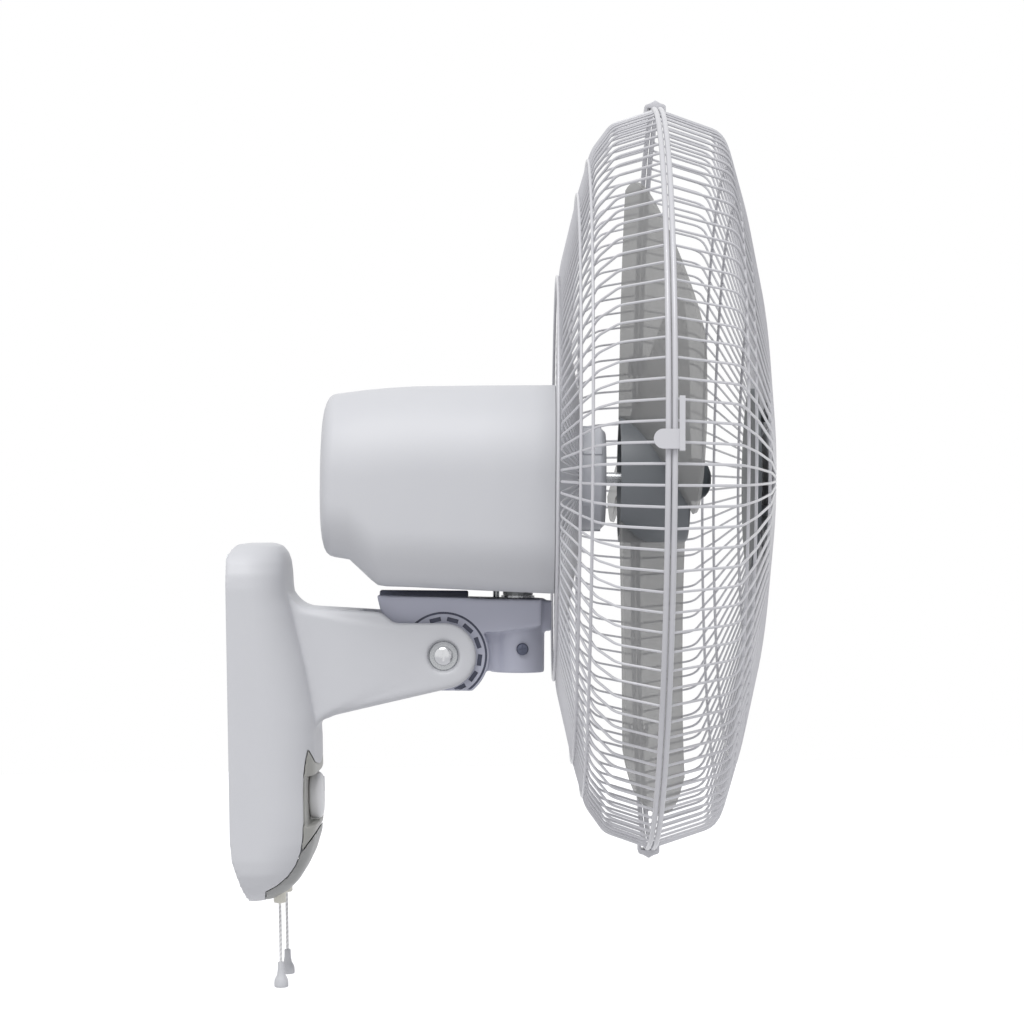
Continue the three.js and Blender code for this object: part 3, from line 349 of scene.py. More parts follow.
def bar(radius, start, end, sides=48):
    """A round bar between two points."""
    start, end = Vector(start), Vector(end)
    bm = bmesh.new()
    bmesh.ops.create_cone(
        bm, cap_ends=True, segments=sides, radius1=radius, radius2=radius, depth=(end - start).length)
    turn = (end - start).to_track_quat("Z", "Y").to_matrix().to_4x4()
    bmesh.ops.transform(bm, matrix=Matrix.Translation((start + end) / 2) @ turn, verts=bm.verts)
    return bm


def arc(centre, radius, start, end, steps=8):
    """Points on an arc between two angles in degrees."""
    turns = [math.radians(start + (end - start) * i / steps) for i in range(steps + 1)]
    return [(centre[0] + radius * math.cos(t), centre[1] + radius * math.sin(t)) for t in turns]


def worked(bm, steps):
    """The bmesh after a row of modifiers, each (kind, settings); a bmesh among the settings is a solid."""
    made = []

    def stand(solid):
        mesh = bpy.data.meshes.new("work")
        solid.to_mesh(mesh)
        solid.free()
        made.append(bpy.data.objects.new("work", mesh))
        bpy.context.scene.collection.objects.link(made[-1])
        return made[-1]

    body = stand(bm)
    for kind, settings in steps:
        modifier = body.modifiers.new("work", kind)
        for key, value in settings.items():
            setattr(modifier, key, stand(value) if isinstance(value, bmesh.types.BMesh) else value)
    result = bmesh.new()
    result.from_object(body, bpy.context.evaluated_depsgraph_get())
    for item in made:
        mesh = item.data
        bpy.data.objects.remove(item)
        bpy.data.meshes.remove(mesh)
    return result


def join(*solids):
    return [("BOOLEAN", {"object": solid, "operation": "UNION"}) for solid in solids]


def cut(*solids):
    return [("BOOLEAN", {"object": solid, "operation": "DIFFERENCE"}) for solid in solids]


def keep(*solids):
    return [("BOOLEAN", {"object": solid, "operation": "INTERSECT"}) for solid in solids]


def melt(size, passes):
    """Runs the surfaces of a solid into each other, as fillets do, on a grid of the size given."""
    return [
        ("REMESH", {"mode": "VOXEL", "voxel_size": size, "adaptivity": 0}),
        ("SMOOTH", {"factor": 0.5, "iterations": passes})]


def base_body(inset=0):
    low, high = base_low[2] + inset, base_high[2] - inset
    heights = [low] + [z for z, _ in front_line if low + 0.5 < z < high - 0.5] + [high]
    heights = sorted(set(heights + [low + 1, low + 2.5, low + 5, high - 0.8, high - 1.8, high - 4, high - 8]))
    return lofted([base_section(z, inset) for z in heights])


# The arm's outline: a fillet on the base, a step down in its top edge under the neck's deck, a round
# end about the tilt bolt and a fillet back into the base. It widens a little where it meets the base.
arm_end_radius = 19.6
tip_z = pivot.z + arm_end_radius
low_z = pivot.z - arm_end_radius - 0.6
arm_outline = (
    [(-20, 76), (-32, 72)] + arc((-49, 79), 16, -25, -92, 6)
    + [(-87, 60.2), (-90, 59.3), (-95.5, 54.3), (-98.5, 53.4)]
    + arc((pivot.y, pivot.z), arm_end_radius, 84, 262, 18) + [(pivot.y, low_z), (-60, -0.6)]
    + arc((-58, -11), 9, 84, 20, 5) + [(-46, -20), (-20, -20)])
arm = slab(arm_outline, -arm_half_width, arm_half_width)
soften(arm, 5, 5, over=60)
long_edges = [e for e in arm.edges if e.calc_length() > 25]
bmesh.ops.subdivide_edges(arm, edges=long_edges, cuts=6, use_grid_fill=True)
flare = 0.16
flare_reach = 9
for vert in arm.verts:
    rise = max(0, -along(front_line, vert.co.z) + 3 - vert.co.y)
    vert.co.x *= 1 + flare * math.exp(-rise / flare_reach)
slot = block((-slot_half_width, pivot.y - 40, low_z - 20), (slot_half_width, pivot.y + 49, tip_z + 30))
recess_radius = 9.6
recess_floor = arm_half_width - 4.4
recesses = [
    bar(recess_radius, (s * recess_floor, pivot.y, pivot.z), (s * (arm_half_width + 9), pivot.y, pivot.z))
    for s in (-1, 1)]
bolt_hole = bar(3.3, (-40, pivot.y, pivot.z), (40, pivot.y, pivot.z), 32)
cavity = base_body(base_wall)
inlet = block((28, -20, base_low[2] - 5), (36, 5, base_low[2] + 17))
screw_hole = bar(2.1, (0, -13, base_low[2] - 5), (0, -13, base_low[2] + 8), 24)
base = worked(base_body(), join(arm) + cut(cavity, slot, bolt_hole, *recesses, inlet, screw_hole)
              + melt(1.3, 5))

# The grey control panel and the strip under it fill a zone on the front that ends in a point at each
# side and dips over the knob.
panel_edge = (
    [(-70, -34.4), (-50.4, -34.4), (-49.4, -29.5), (-47.8, -24.2), (-45.6, -19.2), (-44.2, -26), (-43, -35)]
    + [(-42.5, -44), (-42.5, -62), (-42, -71), (-40.6, -79), (-37.6, -86.5), (-33, -92.8), (-27, -97.8)]
    + [(-20, -101.5), (-15, -125), (-70, -125)])
wide = base_half_width + 10
seam_gap = 0.35
openings = [
    slab([(y + s * seam_gap, z + seam_gap) for y, z in panel_edge], -wide, wide) for s in (-1, 1)]
base = worked(base, cut(*openings))
piece_from(base, "base_shell", light_abs, "base", ["base_cover"], smooth=40)

# ---- control panel and lower strip ----------------------------------------------------------------
# A grey moulded panel, dished round the knob, and a darker strip that wraps under the base. Both are
# clipped into the cover and follow its curve.
panel_abs = moulded("moulded_warm_grey_abs", "#a8a8a3", "#9d9d98", 0.42)
strip_abs = moulded("moulded_dark_grey_abs", "#a1a2a1", "#939493", 0.4)
knob_centre = Vector(joints["knob_turn"]["pos_m"]) / MM
knob_radius = 14
panel_face = 43.2
seam = [(-70, -85), (-70, -55), (-52, -65), (-41, -79), (-5, -101), (-5, -125), (-70, -125)]
channel = block(
    (-wide, -70, knob_centre.z - knob_radius - 0.8), (wide, -panel_face, knob_centre.z + knob_radius + 0.8))
backing = block((-42, -panel_face - 0.6, -70), (42, -panel_face + 3.2, -30))
shaft_hole = bar(3.3, (0, -30, knob_centre.z), (0, -60, knob_centre.z), 24)
panel_steps = keep(slab(panel_edge, -wide, wide)) + join(backing) + cut(
    slab([(y + seam_gap, z + seam_gap) for y, z in seam], -wide, wide), channel, shaft_hole)
panel = worked(base_body(), panel_steps + melt(0.8, 2))
piece_from(panel, "panel_face", panel_abs, "base", ["control_panel"], smooth=40)

bush_holes = [bar(4, (s * cord_side, cord_y, -125), (s * cord_side, cord_y, -80), 32) for s in (-1, 1)]
strip = worked(base_body(), keep(slab(panel_edge, -wide, wide), slab(seam, -wide, wide))
               + cut(*bush_holes) + melt(0.8, 2))
piece_from(strip, "strip_face", strip_abs, "base", ["lower_strip"], smooth=40)

# ---- speed knob -----------------------------------------------------------------------------------
# A white moulded knob on the speed switch's shaft, with a grip rib across its face.
white_abs = moulded("moulded_white_abs", "#f2f2f3", "#ededee", 0.42)
dress(black_moulding, "dark_grey_abs", "speed_switch")
knob_rear = panel_face + 0.3
knob_front = 51.6
knob = turned_solid([
    (3.3, knob_rear), (knob_radius - 1, knob_rear), (knob_radius - 0.2, knob_rear + 0.8),
    (knob_radius, knob_rear + 2), (knob_radius, knob_front - 3.4), (knob_radius - 0.5, knob_front - 1.8),
    (knob_radius - 1.8, knob_front - 0.6), (knob_radius - 4, knob_front - 0.1), (0, knob_front),
    (0, knob_front - 2.6), (3.3, knob_front - 2.6)], 96)
knob_turn = Matrix.Translation((0, 0, knob_centre.z)) @ Matrix.Rotation(math.pi / 2, 4, "X")
bmesh.ops.transform(knob, matrix=knob_turn, verts=knob.verts)
grip = block((-1, -knob_front - 0.6, knob_centre.z + 2), (1, -knob_front + 1.4, knob_centre.z + 11))
soften(grip, 0.35, 2)
knob = worked(knob, join(grip))
piece_from(knob, "knob_moulding", white_abs, "knob", ["speed_knob"], smooth=30)

# ---- cord bushings --------------------------------------------------------------------------------
# Two nylon eyelets in the strip that the pull cords run through.
for side, hand in ((-1, "left"), (1, "right")):
    low, high = (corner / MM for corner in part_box(f"cord_bush_{hand}"))
    bush = turned_solid([
        (1.5, high.z), (3.7, high.z), (3.7, low.z + 1), (3.4, low.z + 0.3), (2.8, low.z), (2.1, low.z),
        (1.5, low.z + 0.6)], 48)
    turn = Matrix.Translation((side * cord_side, cord_y, 0))
    piece_from(bush, f"bush_{hand}", white_nylon, "base", [f"cord_bush_{hand}"], turn)

# ---- tilt bolt ------------------------------------------------------------------------------------
# The chromed pan-head bolt through the fork and the neck, on a turned washer, with a hexagon nut on
# the far side and a nylon spacer on each side of the neck.
chrome = metal("chromed_steel", "#dddee0", "#cfd0d3", 0.16, 1.5)
washer_at = recess_floor + 0.3
head_at = washer_at + 1.5
bolt_turn = Matrix.Translation(pivot) @ Matrix.Rotation(-math.pi / 2, 4, "Y")
bolt = turned_solid([
    (0, -head_at - 4.2), (3, -head_at - 4.2), (3, head_at), (5.6, head_at), (5.6, head_at + 0.9),
    (5.3, head_at + 1.7), (4.5, head_at + 2.3), (3.2, head_at + 2.6), (0, head_at + 2.7)], 64)
cross = [
    block((-a, -b, head_at + 1.1), (a, b, head_at + 5)) for a, b in ((0.6, 3.2), (3.2, 0.6))]
bolt = worked(bolt, cut(*cross))
piece_from(bolt, "bolt", chrome, "base", ["tilt_bolt"], bolt_turn, 30)
washer = turned_solid([
    (3.4, washer_at), (8.2, washer_at), (8.8, washer_at + 0.3), (8.8, washer_at + 0.9),
    (8.2, washer_at + 1.2), (6.6, washer_at + 0.9), (3.4, washer_at + 1.2)], 72)
piece_from(washer, "washer", turned_steel, "base", ["tilt_washer"], bolt_turn, 30)
nut_at = Matrix.Translation(pivot) @ Matrix.Rotation(math.pi / 2, 4, "Y")
hexagon = turned_solid([(3.3, washer_at), (6.4, washer_at), (6.4, washer_at + 4), (3.3, washer_at + 4)], 6)
cone = turned_solid([
    (0, washer_at - 1), (9, washer_at - 1), (9, washer_at + 2.2), (5.6, washer_at + 4),
    (0, washer_at + 4)], 48)
piece_from(worked(hexagon, keep(cone)), "nut", turned_steel, "base", ["tilt_nut"], nut_at, 30)
dress(white_nylon, "nylon", "tilt_spacer_left", "tilt_spacer_right")

# ---- neck bracket ---------------------------------------------------------------------------------
# One moulding that tilts in the arm's fork: a round toothed disc, an upright boss for the swivel shaft
# and a slim deck under the motor housing, all run into each other with fillets.
head_tilt = 1.5
head_frame = Matrix.Translation(pivot) @ Matrix.Rotation(math.radians(head_tilt), 4, "X")
swivel_f = 43.8
fan_axis = 106
disc_radius = 27.1
neck_half = slot_half_width - 1.6
boss_bottom = -10.4
deck_top = 34
deck_outline = [
    (40, deck_top + 1.2), (38, 27), (33, 18), (-22, 14), (-32, 14), (-swivel_f - 9, 17),
    (-swivel_f - 14, 18.5), (-swivel_f - 14, deck_top - 0.4), (-swivel_f, deck_top),
    (-swivel_f + 16, deck_top)]
lavender_abs = moulded("moulded_lavender_grey_abs", "#c2c4d2", "#bcbecc", 0.46)
disc = bar(disc_radius, (-neck_half, 0, 0), (neck_half, 0, 0), 96)
disc_foot = block((-30, -40, -40), (30, 40, -21))
deck = slab(deck_outline, -neck_half, neck_half)
web = block((-12, -swivel_f, boss_bottom + 1), (12, -disc_radius + 12, 20))
boss = bar(16.2, (0, -swivel_f, boss_bottom), (0, -swivel_f, deck_top), 72)
cable_port = block((-8, -64, 14.5), (8, -swivel_f - 8, deck_top - 1.4))
# A dark ridge between the deck and the housing's belly: painted shade for the shadowed gap there, drawn below
# in a dark material.
shade_ridge = block((-6, -14, 28), (6, 39, deck_top + 4))
neck_bores = [
    bar(3.3, (-40, 0, 0), (40, 0, 0), 32),
    bar(6.3, (0, -swivel_f, boss_bottom - 5), (0, -swivel_f, 50), 40),
    bar(2.3, (14, -swivel_f + 13.1, 22), (14, -swivel_f + 13.1, 60), 24),
    bar(2.3, (-30, -swivel_f - 3, 4), (-5, -swivel_f - 3, 4), 24)]
pockets = []
pocket_count = 13
pocket_floor = neck_half - 1.4
for s in (-1, 1):
    for i in range(pocket_count):
        turn = Matrix.Rotation(math.tau * (i + 0.5) / pocket_count, 4, "X")
        near, far = sorted((s * pocket_floor, s * (neck_half + 2)))
        pocket = block((near, -3.4, 20.2), (far, 3.4, 22.8))
        bmesh.ops.transform(pocket, matrix=turn, verts=pocket.verts)
        pockets.append(pocket)
    groove = turned_solid([(24.6, 0), (25.9, 0), (25.9, 3), (24.6, 3)], 96)
    turn = Matrix.Translation((s * pocket_floor, 0, 0)) @ Matrix.Rotation(s * math.pi / 2, 4, "Y")
    bmesh.ops.transform(groove, matrix=turn, verts=groove.verts)
    pockets.append(groove)
tray_rooms = [block((s * 8 - 4.5 + s * 4.5, -12, 26), (s * 8 + 4.5 + s * 4.5, 33, 60)) for s in (-1, 1)]
neck = worked(disc, cut(disc_foot) + join(deck, web, boss, cable_port) + cut(*tray_rooms) + melt(0.9, 3))
neck = worked(neck, cut(*neck_bores, *pockets))
piece_from(neck, "neck_moulding", lavender_abs, "neck", ["neck_bracket"], head_frame, 40)

# ---- swing link and swivel ------------------------------------------------------------------------
# A dark block on the deck and dark rings inside the disc under its pockets and groove, both painted shade:
# the block stands for the shadowed gap under the housing, the rings darken the recesses. Then the swivel
# shaft with its washer and locking screw, and the pressed link bar that swings the head.
# Dark slate colour that paints the shade in the gap over the deck and in the disc's pockets and groove.
painted_shade_moulding = moulded("painted_shade_slate", "#53576a", "#4a4e61", 0.42)
# The dark ridge on the deck, painted shade for the gap under the housing.
soften(shade_ridge, 1, 2)
piece_from(shade_ridge, "gap_shade_ridge", painted_shade_moulding, "neck", ["neck_bracket"], head_frame)
for s, hand in ((-1, "left"), (1, "right")):
    # Dark rings inside the neck under its pockets and groove, so that these recesses show painted shade.
    pocket_shade_ring = turned_solid([(19, 0), (26.4, 0), (26.4, 1.4), (19, 1.4)], 96)
    turn = Matrix.Translation((s * (pocket_floor - 1.1), 0, 0)) @ Matrix.Rotation(s * math.pi / 2, 4, "Y")
    bmesh.ops.transform(pocket_shade_ring, matrix=turn, verts=pocket_shade_ring.verts)
    pocket_shade_ring = worked(pocket_shade_ring, cut(block((-30, -40, -40), (30, 40, -20))))
    piece_from(pocket_shade_ring, f"pocket_shade_ring_{hand}", painted_shade_moulding, "neck", ["neck_bracket"],
               head_frame)
dress(turned_steel, "steel", "link_stud", "swivel_washer", "swivel_shaft")
dress(zinc_sheet, "zinc_sheet", "swing_link")
lock = turned_solid([
    (0, 6.3), (2, 6.3), (2, 16.2), (3.6, 16.2), (3.6, 17.6), (3, 18.4), (1.4, 18.7), (0, 18.7)], 40)
lock = worked(lock, cut(
    block((-0.4, -2.2, 17.5), (0.4, 2.2, 20)), block((-2.2, -0.4, 17.5), (2.2, 0.4, 20))))
lock_turn = Matrix.Translation((0, -swivel_f - 3, 4)) @ Matrix.Rotation(-math.pi / 2, 4, "Y")
blued_steel = metal("blued_steel", "#6c7080", "#5c6070", 0.42, 1)
piece_from(
    lock, "lock_screw", blued_steel, "neck", ["swivel_lock_screw"], head_frame @ lock_turn, 30)

# ---- motor and gears ------------------------------------------------------------------------------
# The induction motor between two cast shields, and the worm, wheel, pinion and crank that drive the
# swing. They stay as the CAD has them: all are closed in by the housing.
cast_aluminium = metal("die_cast_aluminium", "#b0b2b4", "#9b9da0", 0.5, 1.6)
dress(cast_aluminium, "cast_alloy", "front_shield", "rear_shield", "gear_case")
laminated_steel = metal("laminated_electrical_steel", "#8d8f92", "#6f7174", 0.45, 0.5, (1, 12, 1))
dress(laminated_steel, "lamination", "stator", "rotor_core")
enamelled_copper = metal("enamelled_copper_wire", "#b0602f", "#8b4520", 0.3, 0.7, (8, 1, 8))
dress(enamelled_copper, "copper", "coil_front", "coil_rear")
sintered_bronze = metal("sintered_bronze", "#a98449", "#8f6d38", 0.45, 0.6)
dress(sintered_bronze, "bronze", "bearing_front", "bearing_rear")
dress(turned_steel, "steel", "motor_shaft", "drive_pin")
dress(white_nylon, "nylon", "crank_gear", "worm_wheel")
dress(zinc_sheet, "zinc_sheet", "gear_plate")

# ---- motor housing --------------------------------------------------------------------------------
# A thin rounded ABS bucket over the motor, cut away underneath at the back so that it clears the arm,
# with vent slots in its rear face.
housing_line = [
    (-73.3, 140, 76), (-72.9, 144, 71), (-72.2, 147.5, 67), (-71, 151, 63), (-69.5, 153.4, 60.4),
    (-67.5, 154.9, 58.8), (-65, 155.6, 58), (-56, 156.8, 56.6), (-47.5, 158, 48.8), (-43, 158.4, 44.6),
    (-39, 158.8, 41.6), (-34, 159.3, 40.9), (-20, 160.3, 40.6), (20, 161.2, 39), (65, 161.8, 37.4)]


def housing_section(row, inset=0):
    f, top, low = row
    shrink = min(1, (top - low + 2) / 104)
    w = 60 * shrink - inset
    top, low = top - inset, low + inset
    upper, lower = (min(r * shrink, w - 0.5) - inset * 0.5 for r in (54, 34))
    ring = []
    corners = ((w, top, upper), (-w, top, upper), (-w, low, lower), (w, low, lower))
    for quarter, (x, z, r) in enumerate(corners):
        centre = (x - math.copysign(r, x), z - r if quarter < 2 else z + r)
        for i in range(17):
            turn = (quarter + i / 16) * math.pi / 2
            ring.append((centre[0] + r * math.cos(turn), -f, centre[1] + r * math.sin(turn)))
    return ring


housing = lofted([housing_section(row) for row in housing_line])
room_rows = [(-70.6, 147.5, 67)] + housing_line[4:-1] + [(70, 161.8, 37.4)]
vents = [block((-26, 62, 84 + i * 11), (26, 84, 87 + i * 11)) for i in range(5)]
housing = worked(housing, cut(
    lofted([housing_section(row, 2.5) for row in room_rows]), block((-25, -58, 20), (25, -16, 52)), *vents))
soften(housing, 0.5, 2, over=50)
piece_from(housing, "housing_shell", light_abs, "head", ["motor_housing"], head_frame, 40)

# ---- front cover ----------------------------------------------------------------------------------
# Closes the housing in front with a rounded edge and steps up to the threaded collar that the rear
# guard and its nut sit on.
seat_f = 78.5
plate_radius = 46
collar_radius = 20


def round_section(f, radius):
    ring = []
    for x, y, z in housing_section((f, fan_axis + radius, fan_axis - radius)):
        turn = math.atan2(z - fan_axis, x)
        ring.append((radius * math.cos(turn), -f, fan_axis + radius * math.sin(turn)))
    return ring


cover_rear = 65.3
rounding = [(0, 0.2), (1, 0.5), (1.8, 1.4), (2.4, 3)]
cover = lofted([housing_section((cover_rear + f, 161.8, 37.4), inset) for f, inset in rounding] + [
    round_section(seat_f - 5, plate_radius + 5), round_section(seat_f - 1, plate_radius + 0.6),
    round_section(seat_f, plate_radius)])
cover_room = lofted([
    housing_section((cover_rear - 2, 161.8, 37.4), 3), housing_section((cover_rear + 1, 161.8, 37.4), 5),
    round_section(seat_f - 3, plate_radius - 4)])
collar = bar(collar_radius, (0, -seat_f + 3, fan_axis), (0, -seat_f - 14, fan_axis), 72)
shaft_room = bar(4.5, (0, -50, fan_axis), (0, -100, fan_axis), 36)
cover = worked(cover, join(collar) + cut(cover_room, shaft_room))
piece_from(cover, "cover_shell", light_abs, "head", ["front_cover"], head_frame, 40)

# ---- guards ---------------------------------------------------------------------------------------
# Two dished baskets of thin steel wire, coated pale grey: 120 spokes each, welded to flat rings, to a rim
# hoop and, in the middle, to a round plate.
guard_coat, tree, place = start_material("powder_coated_steel_wire")
coat_skin = add_node(tree, "ShaderNodeTexNoise", {"Vector": place, "Scale": 1 / (1.2 * MM), "Detail": 2})
coat_flow = add_node(tree, "ShaderNodeTexNoise", {"Vector": place, "Scale": 1 / (30 * MM)})
coat_colour = add_node(tree, "ShaderNodeMix", {
    "Factor": coat_flow.outputs["Fac"], 6: to_linear("#c9c9cd"), 7: to_linear("#d2d2d6")}, data_type="RGBA")
coat_bump = add_node(tree, "ShaderNodeBump", {
    "Height": coat_skin.outputs["Fac"], "Strength": 0.3, "Distance": 0.05 * MM})
end_material(tree, add_node(tree, "ShaderNodeBsdfPrincipled", {
    "Base Color": coat_colour.outputs[2], "Roughness": 0.3, "Coat Weight": 0.25, "Coat Roughness": 0.15,
    "Normal": coat_bump.outputs[0]}))

rim_f = 123.5
rim_half = 1.75
rim_wire = 1.55
rim_radius = 220.1
spoke_count = 120
spoke_wire = 0.75
ring_wire = 0.9
plate_f = seat_f + 0.3 + 0.65
guard_front_f = rim_f + 70.5


def wire_loop(radius, f, thick, bm, sides=10, steps=240):
    """Adds a ring of round wire about the blade axis."""
    ring = bmesh.new()
    circle = bmesh.ops.create_circle(ring, segments=sides, radius=thick)["verts"]
    bmesh.ops.rotate(ring, verts=circle, matrix=Matrix.Rotation(math.pi / 2, 3, "X"))
    bmesh.ops.translate(ring, verts=circle, vec=(radius, 0, 0))
    bmesh.ops.spin(
        ring, geom=ring.verts[:] + ring.edges[:], cent=(0, 0, 0), axis=(0, 0, 1), angle=math.tau,
        steps=steps, use_merge=True, use_duplicate=False)
    bmesh.ops.remove_doubles(ring, verts=ring.verts, dist=1e-3)
    bmesh.ops.recalc_face_normals(ring, faces=ring.faces)
    bmesh.ops.transform(
        ring, matrix=Matrix.Translation((0, -f, fan_axis)) @ Matrix.Rotation(math.pi / 2, 4, "X"),
        verts=ring.verts)
    add_to(bm, ring)


def add_to(bm, other):
    mesh = bpy.data.meshes.new("work")
    other.to_mesh(mesh)
    other.free()
    bm.from_mesh(mesh)
    bpy.data.meshes.remove(mesh)


def spoke_fan(path, bm, turn):
    """Adds the spokes: one wire bent along a path of [radius, forward], set round the blade axis."""
    sections = []
    for i, (radius, f) in enumerate(path):
        before, after = Vector(path[max(0, i - 1)]), Vector(path[min(len(path) - 1, i + 1)])
        run = (after - before).normalized()
        side = Vector((-run.y, run.x))
        sections.append([
            (spoke_wire * math.cos(a), -(f + side.y * spoke_wire * math.sin(a)),
             radius + side.x * spoke_wire * math.sin(a))
            for a in (math.tau * k / 6 for k in range(6))])
    one = lofted(sections)
    bmesh.ops.rotate(one, verts=one.verts, cent=(0, 0, 0), matrix=Matrix.Rotation(turn, 3, "Y"))
    bmesh.ops.spin(
        one, geom=one.verts[:] + one.edges[:] + one.faces[:], cent=(0, 0, 0), axis=(0, 1, 0),
        angle=math.tau * (spoke_count - 1) / spoke_count, steps=spoke_count - 1, use_duplicate=True)
    bmesh.ops.translate(one, verts=one.verts, vec=(0, 0, fan_axis))
    add_to(bm, one)


# A dished path from the rim to the middle: [radius, forward] of the wires.
def eased(points, steps=4):
    """The path with its corners rounded over the last sixth of each straight run."""
    result = [points[0]]
    for (r0, f0), (r1, f1), (r2, f2) in zip(points, points[1:], points[2:]):
        start = ((r0 + 5 * r1) / 6, (f0 + 5 * f1) / 6)
        end = ((5 * r1 + r2) / 6, (5 * f1 + f2) / 6)
        for i in range(steps + 1):
            t = i / steps
            result.append((
                (1 - t) ** 2 * start[0] + 2 * t * (1 - t) * r1 + t ** 2 * end[0],
                (1 - t) ** 2 * start[1] + 2 * t * (1 - t) * f1 + t ** 2 * end[1]))
    return result + [points[-1]]


inside = rim_radius - rim_wire * 0.4
rear_path = eased([
    (inside, rim_f - rim_half), (211, rim_f - 27), (196, rim_f - 38), (170, rim_f - 45.6),
    (121, rim_f - 57), (plate_radius - 2, plate_f)])
front_path = eased([
    (inside, rim_f + rim_half), (207, rim_f + 38), (167, rim_f + 50), (114, rim_f + 62), (46, guard_front_f),
    (33, guard_front_f)])
rear_guard = bmesh.new()
spoke_fan(rear_path, rear_guard, math.pi / spoke_count)
wire_loop(rim_radius, rim_f - rim_half, rim_wire, rear_guard, 12)
for radius, f in ((190, 39.6), (170, 45.6), (121, 57)):
    wire_loop(radius, rim_f - f - ring_wire, ring_wire, rear_guard)
plate = turned_solid([
    (collar_radius + 0.6, -0.65), (plate_radius + 1, -0.65), (plate_radius + 1, 0.65),
    (collar_radius + 0.6, 0.65)], 120)
face_forward = Matrix.Translation((0, -plate_f, fan_axis)) @ Matrix.Rotation(math.pi / 2, 4, "X")
bmesh.ops.transform(plate, matrix=face_forward, verts=plate.verts)
add_to(rear_guard, plate)
piece_from(rear_guard, "rear_wires", guard_coat, "head", ["rear_guard"], head_frame, 50)

front_guard = bmesh.new()
spoke_fan(front_path, front_guard, math.pi / spoke_count)
wire_loop(rim_radius, rim_f + rim_half, rim_wire, front_guard, 12)
for radius, f in ((188, 44), (167, 50), (114, 62), (48, 70.5), (32, 70.5)):
    wire_loop(radius, rim_f + f - ring_wire, ring_wire, front_guard)
piece_from(front_guard, "front_wires", guard_coat, "head", ["front_guard"], head_frame, 50)

# ---- guard nut ------------------------------------------------------------------------------------
# A big moulded nut with grip ribs that clamps the rear guard on the collar.
nut_abs = moulded("moulded_mid_grey_abs", "#cbcdd3", "#c4c6cc", 0.42)
nut_rear = plate_f + 0.65 + 0.3
nut_front = 95.6
nut_radius = 30.7
nut = turned_solid([
    (collar_radius + 0.3, nut_rear), (nut_radius, nut_rear), (nut_radius, nut_front - 3),
    (nut_radius - 3, nut_front), (collar_radius - 6, nut_front), (collar_radius - 6, seat_f + 14.3),
    (collar_radius + 0.3, seat_f + 14.3)], 96)
nut_turn = Matrix.Translation((0, 0, fan_axis)) @ Matrix.Rotation(math.pi / 2, 4, "X")
bmesh.ops.transform(nut, matrix=nut_turn, verts=nut.verts)
soften(nut, 0.8, 3)
ribs = []
for i in range(6):
    rib = block((-1.8, -nut_front + 2.6, nut_radius - 1), (1.8, -nut_rear - 1, nut_radius + 0.9))
    soften(rib, 0.5, 2)
    turn = Matrix.Translation((0, 0, fan_axis)) @ Matrix.Rotation(math.tau * i / 6, 4, "Y")
    bmesh.ops.transform(rib, matrix=turn, verts=rib.verts)
    ribs.append(rib)
nut = worked(nut, join(*ribs))
piece_from(nut, "nut_moulding", nut_abs, "head", ["guard_nut"], head_frame, 30)

# ---- badge disc and cap ---------------------------------------------------------------------------
# A dark dished disc held on three posts behind the middle of the front guard, and a plain light cap
# in front of it.
disc_abs = moulded("moulded_charcoal_abs", "#5f6468", "#565b5f", 0.45)
badge_f = 183
badge = turned_solid([
    (0, badge_f - 1), (54.4, badge_f - 1), (55, badge_f - 0.4), (55, badge_f + 2), (54.6, badge_f + 2.4),
    (53.8, badge_f + 2.4), (53.4, badge_f + 2), (53, badge_f + 1), (0, badge_f + 1)], 120)
bmesh.ops.transform(badge, matrix=nut_turn, verts=badge.verts)
posts = []
for i in range(3):
    turn = math.tau * i / 3 - 0.55
    x, z = 38 * math.cos(turn), fan_axis + 38 * math.sin(turn)
    posts.append(bar(3, (x, -badge_f, z), (x, -(guard_front_f - 0.95), z), 24))
badge = worked(badge, join(*posts))
piece_from(badge, "badge_dish", disc_abs, "head", ["badge_disc"], head_frame, 30)
cap = turned_solid([
    (0, guard_front_f - 3), (28.4, guard_front_f - 3), (29.4, guard_front_f - 2.5), (30, guard_front_f - 1.6),
    (30, guard_front_f + 0.2), (29.2, guard_front_f + 1.2), (26, guard_front_f + 2.1),
    (18, guard_front_f + 2.6), (0, guard_front_f + 2.8)], 96)
bmesh.ops.transform(cap, matrix=nut_turn, verts=cap.verts)
piece_from(cap, "badge_front", light_abs, "head", ["badge_cap"], head_frame, 30)

# ---- rim clips ------------------------------------------------------------------------------------
# Four bent sheet clips, coated like the wires, that hold the two rims together.
clip_step = 360 / 26
clip_seat = rim_radius + rim_wire + 0.1
clip_turns = [clip_step * (place + 0.5) for place in (6, 19, 22, 1)]
clip_profile = [(4.6, 0.3), (4.6, -5), (6.4, -5), (6.4, 1.6), (5.6, 2.6), (3, 3.4), (0, 5.2)]
for i, degrees in enumerate(clip_turns):
    half = [(along_rim, clip_seat + out) for along_rim, out in clip_profile]
    clip = slab(half + [(-a, r) for a, r in reversed(half[:-1])], -7, 7)
    soften(clip, 0.5, 2)
    turn = Matrix.Translation((0, -rim_f, fan_axis)) @ Matrix.Rotation(math.radians(90 - degrees), 4, "Y")
    piece_from(clip, f"clip_{i + 1}", guard_coat, "head", [f"rim_clip_{i + 1}"],
               head_frame @ turn, 30)

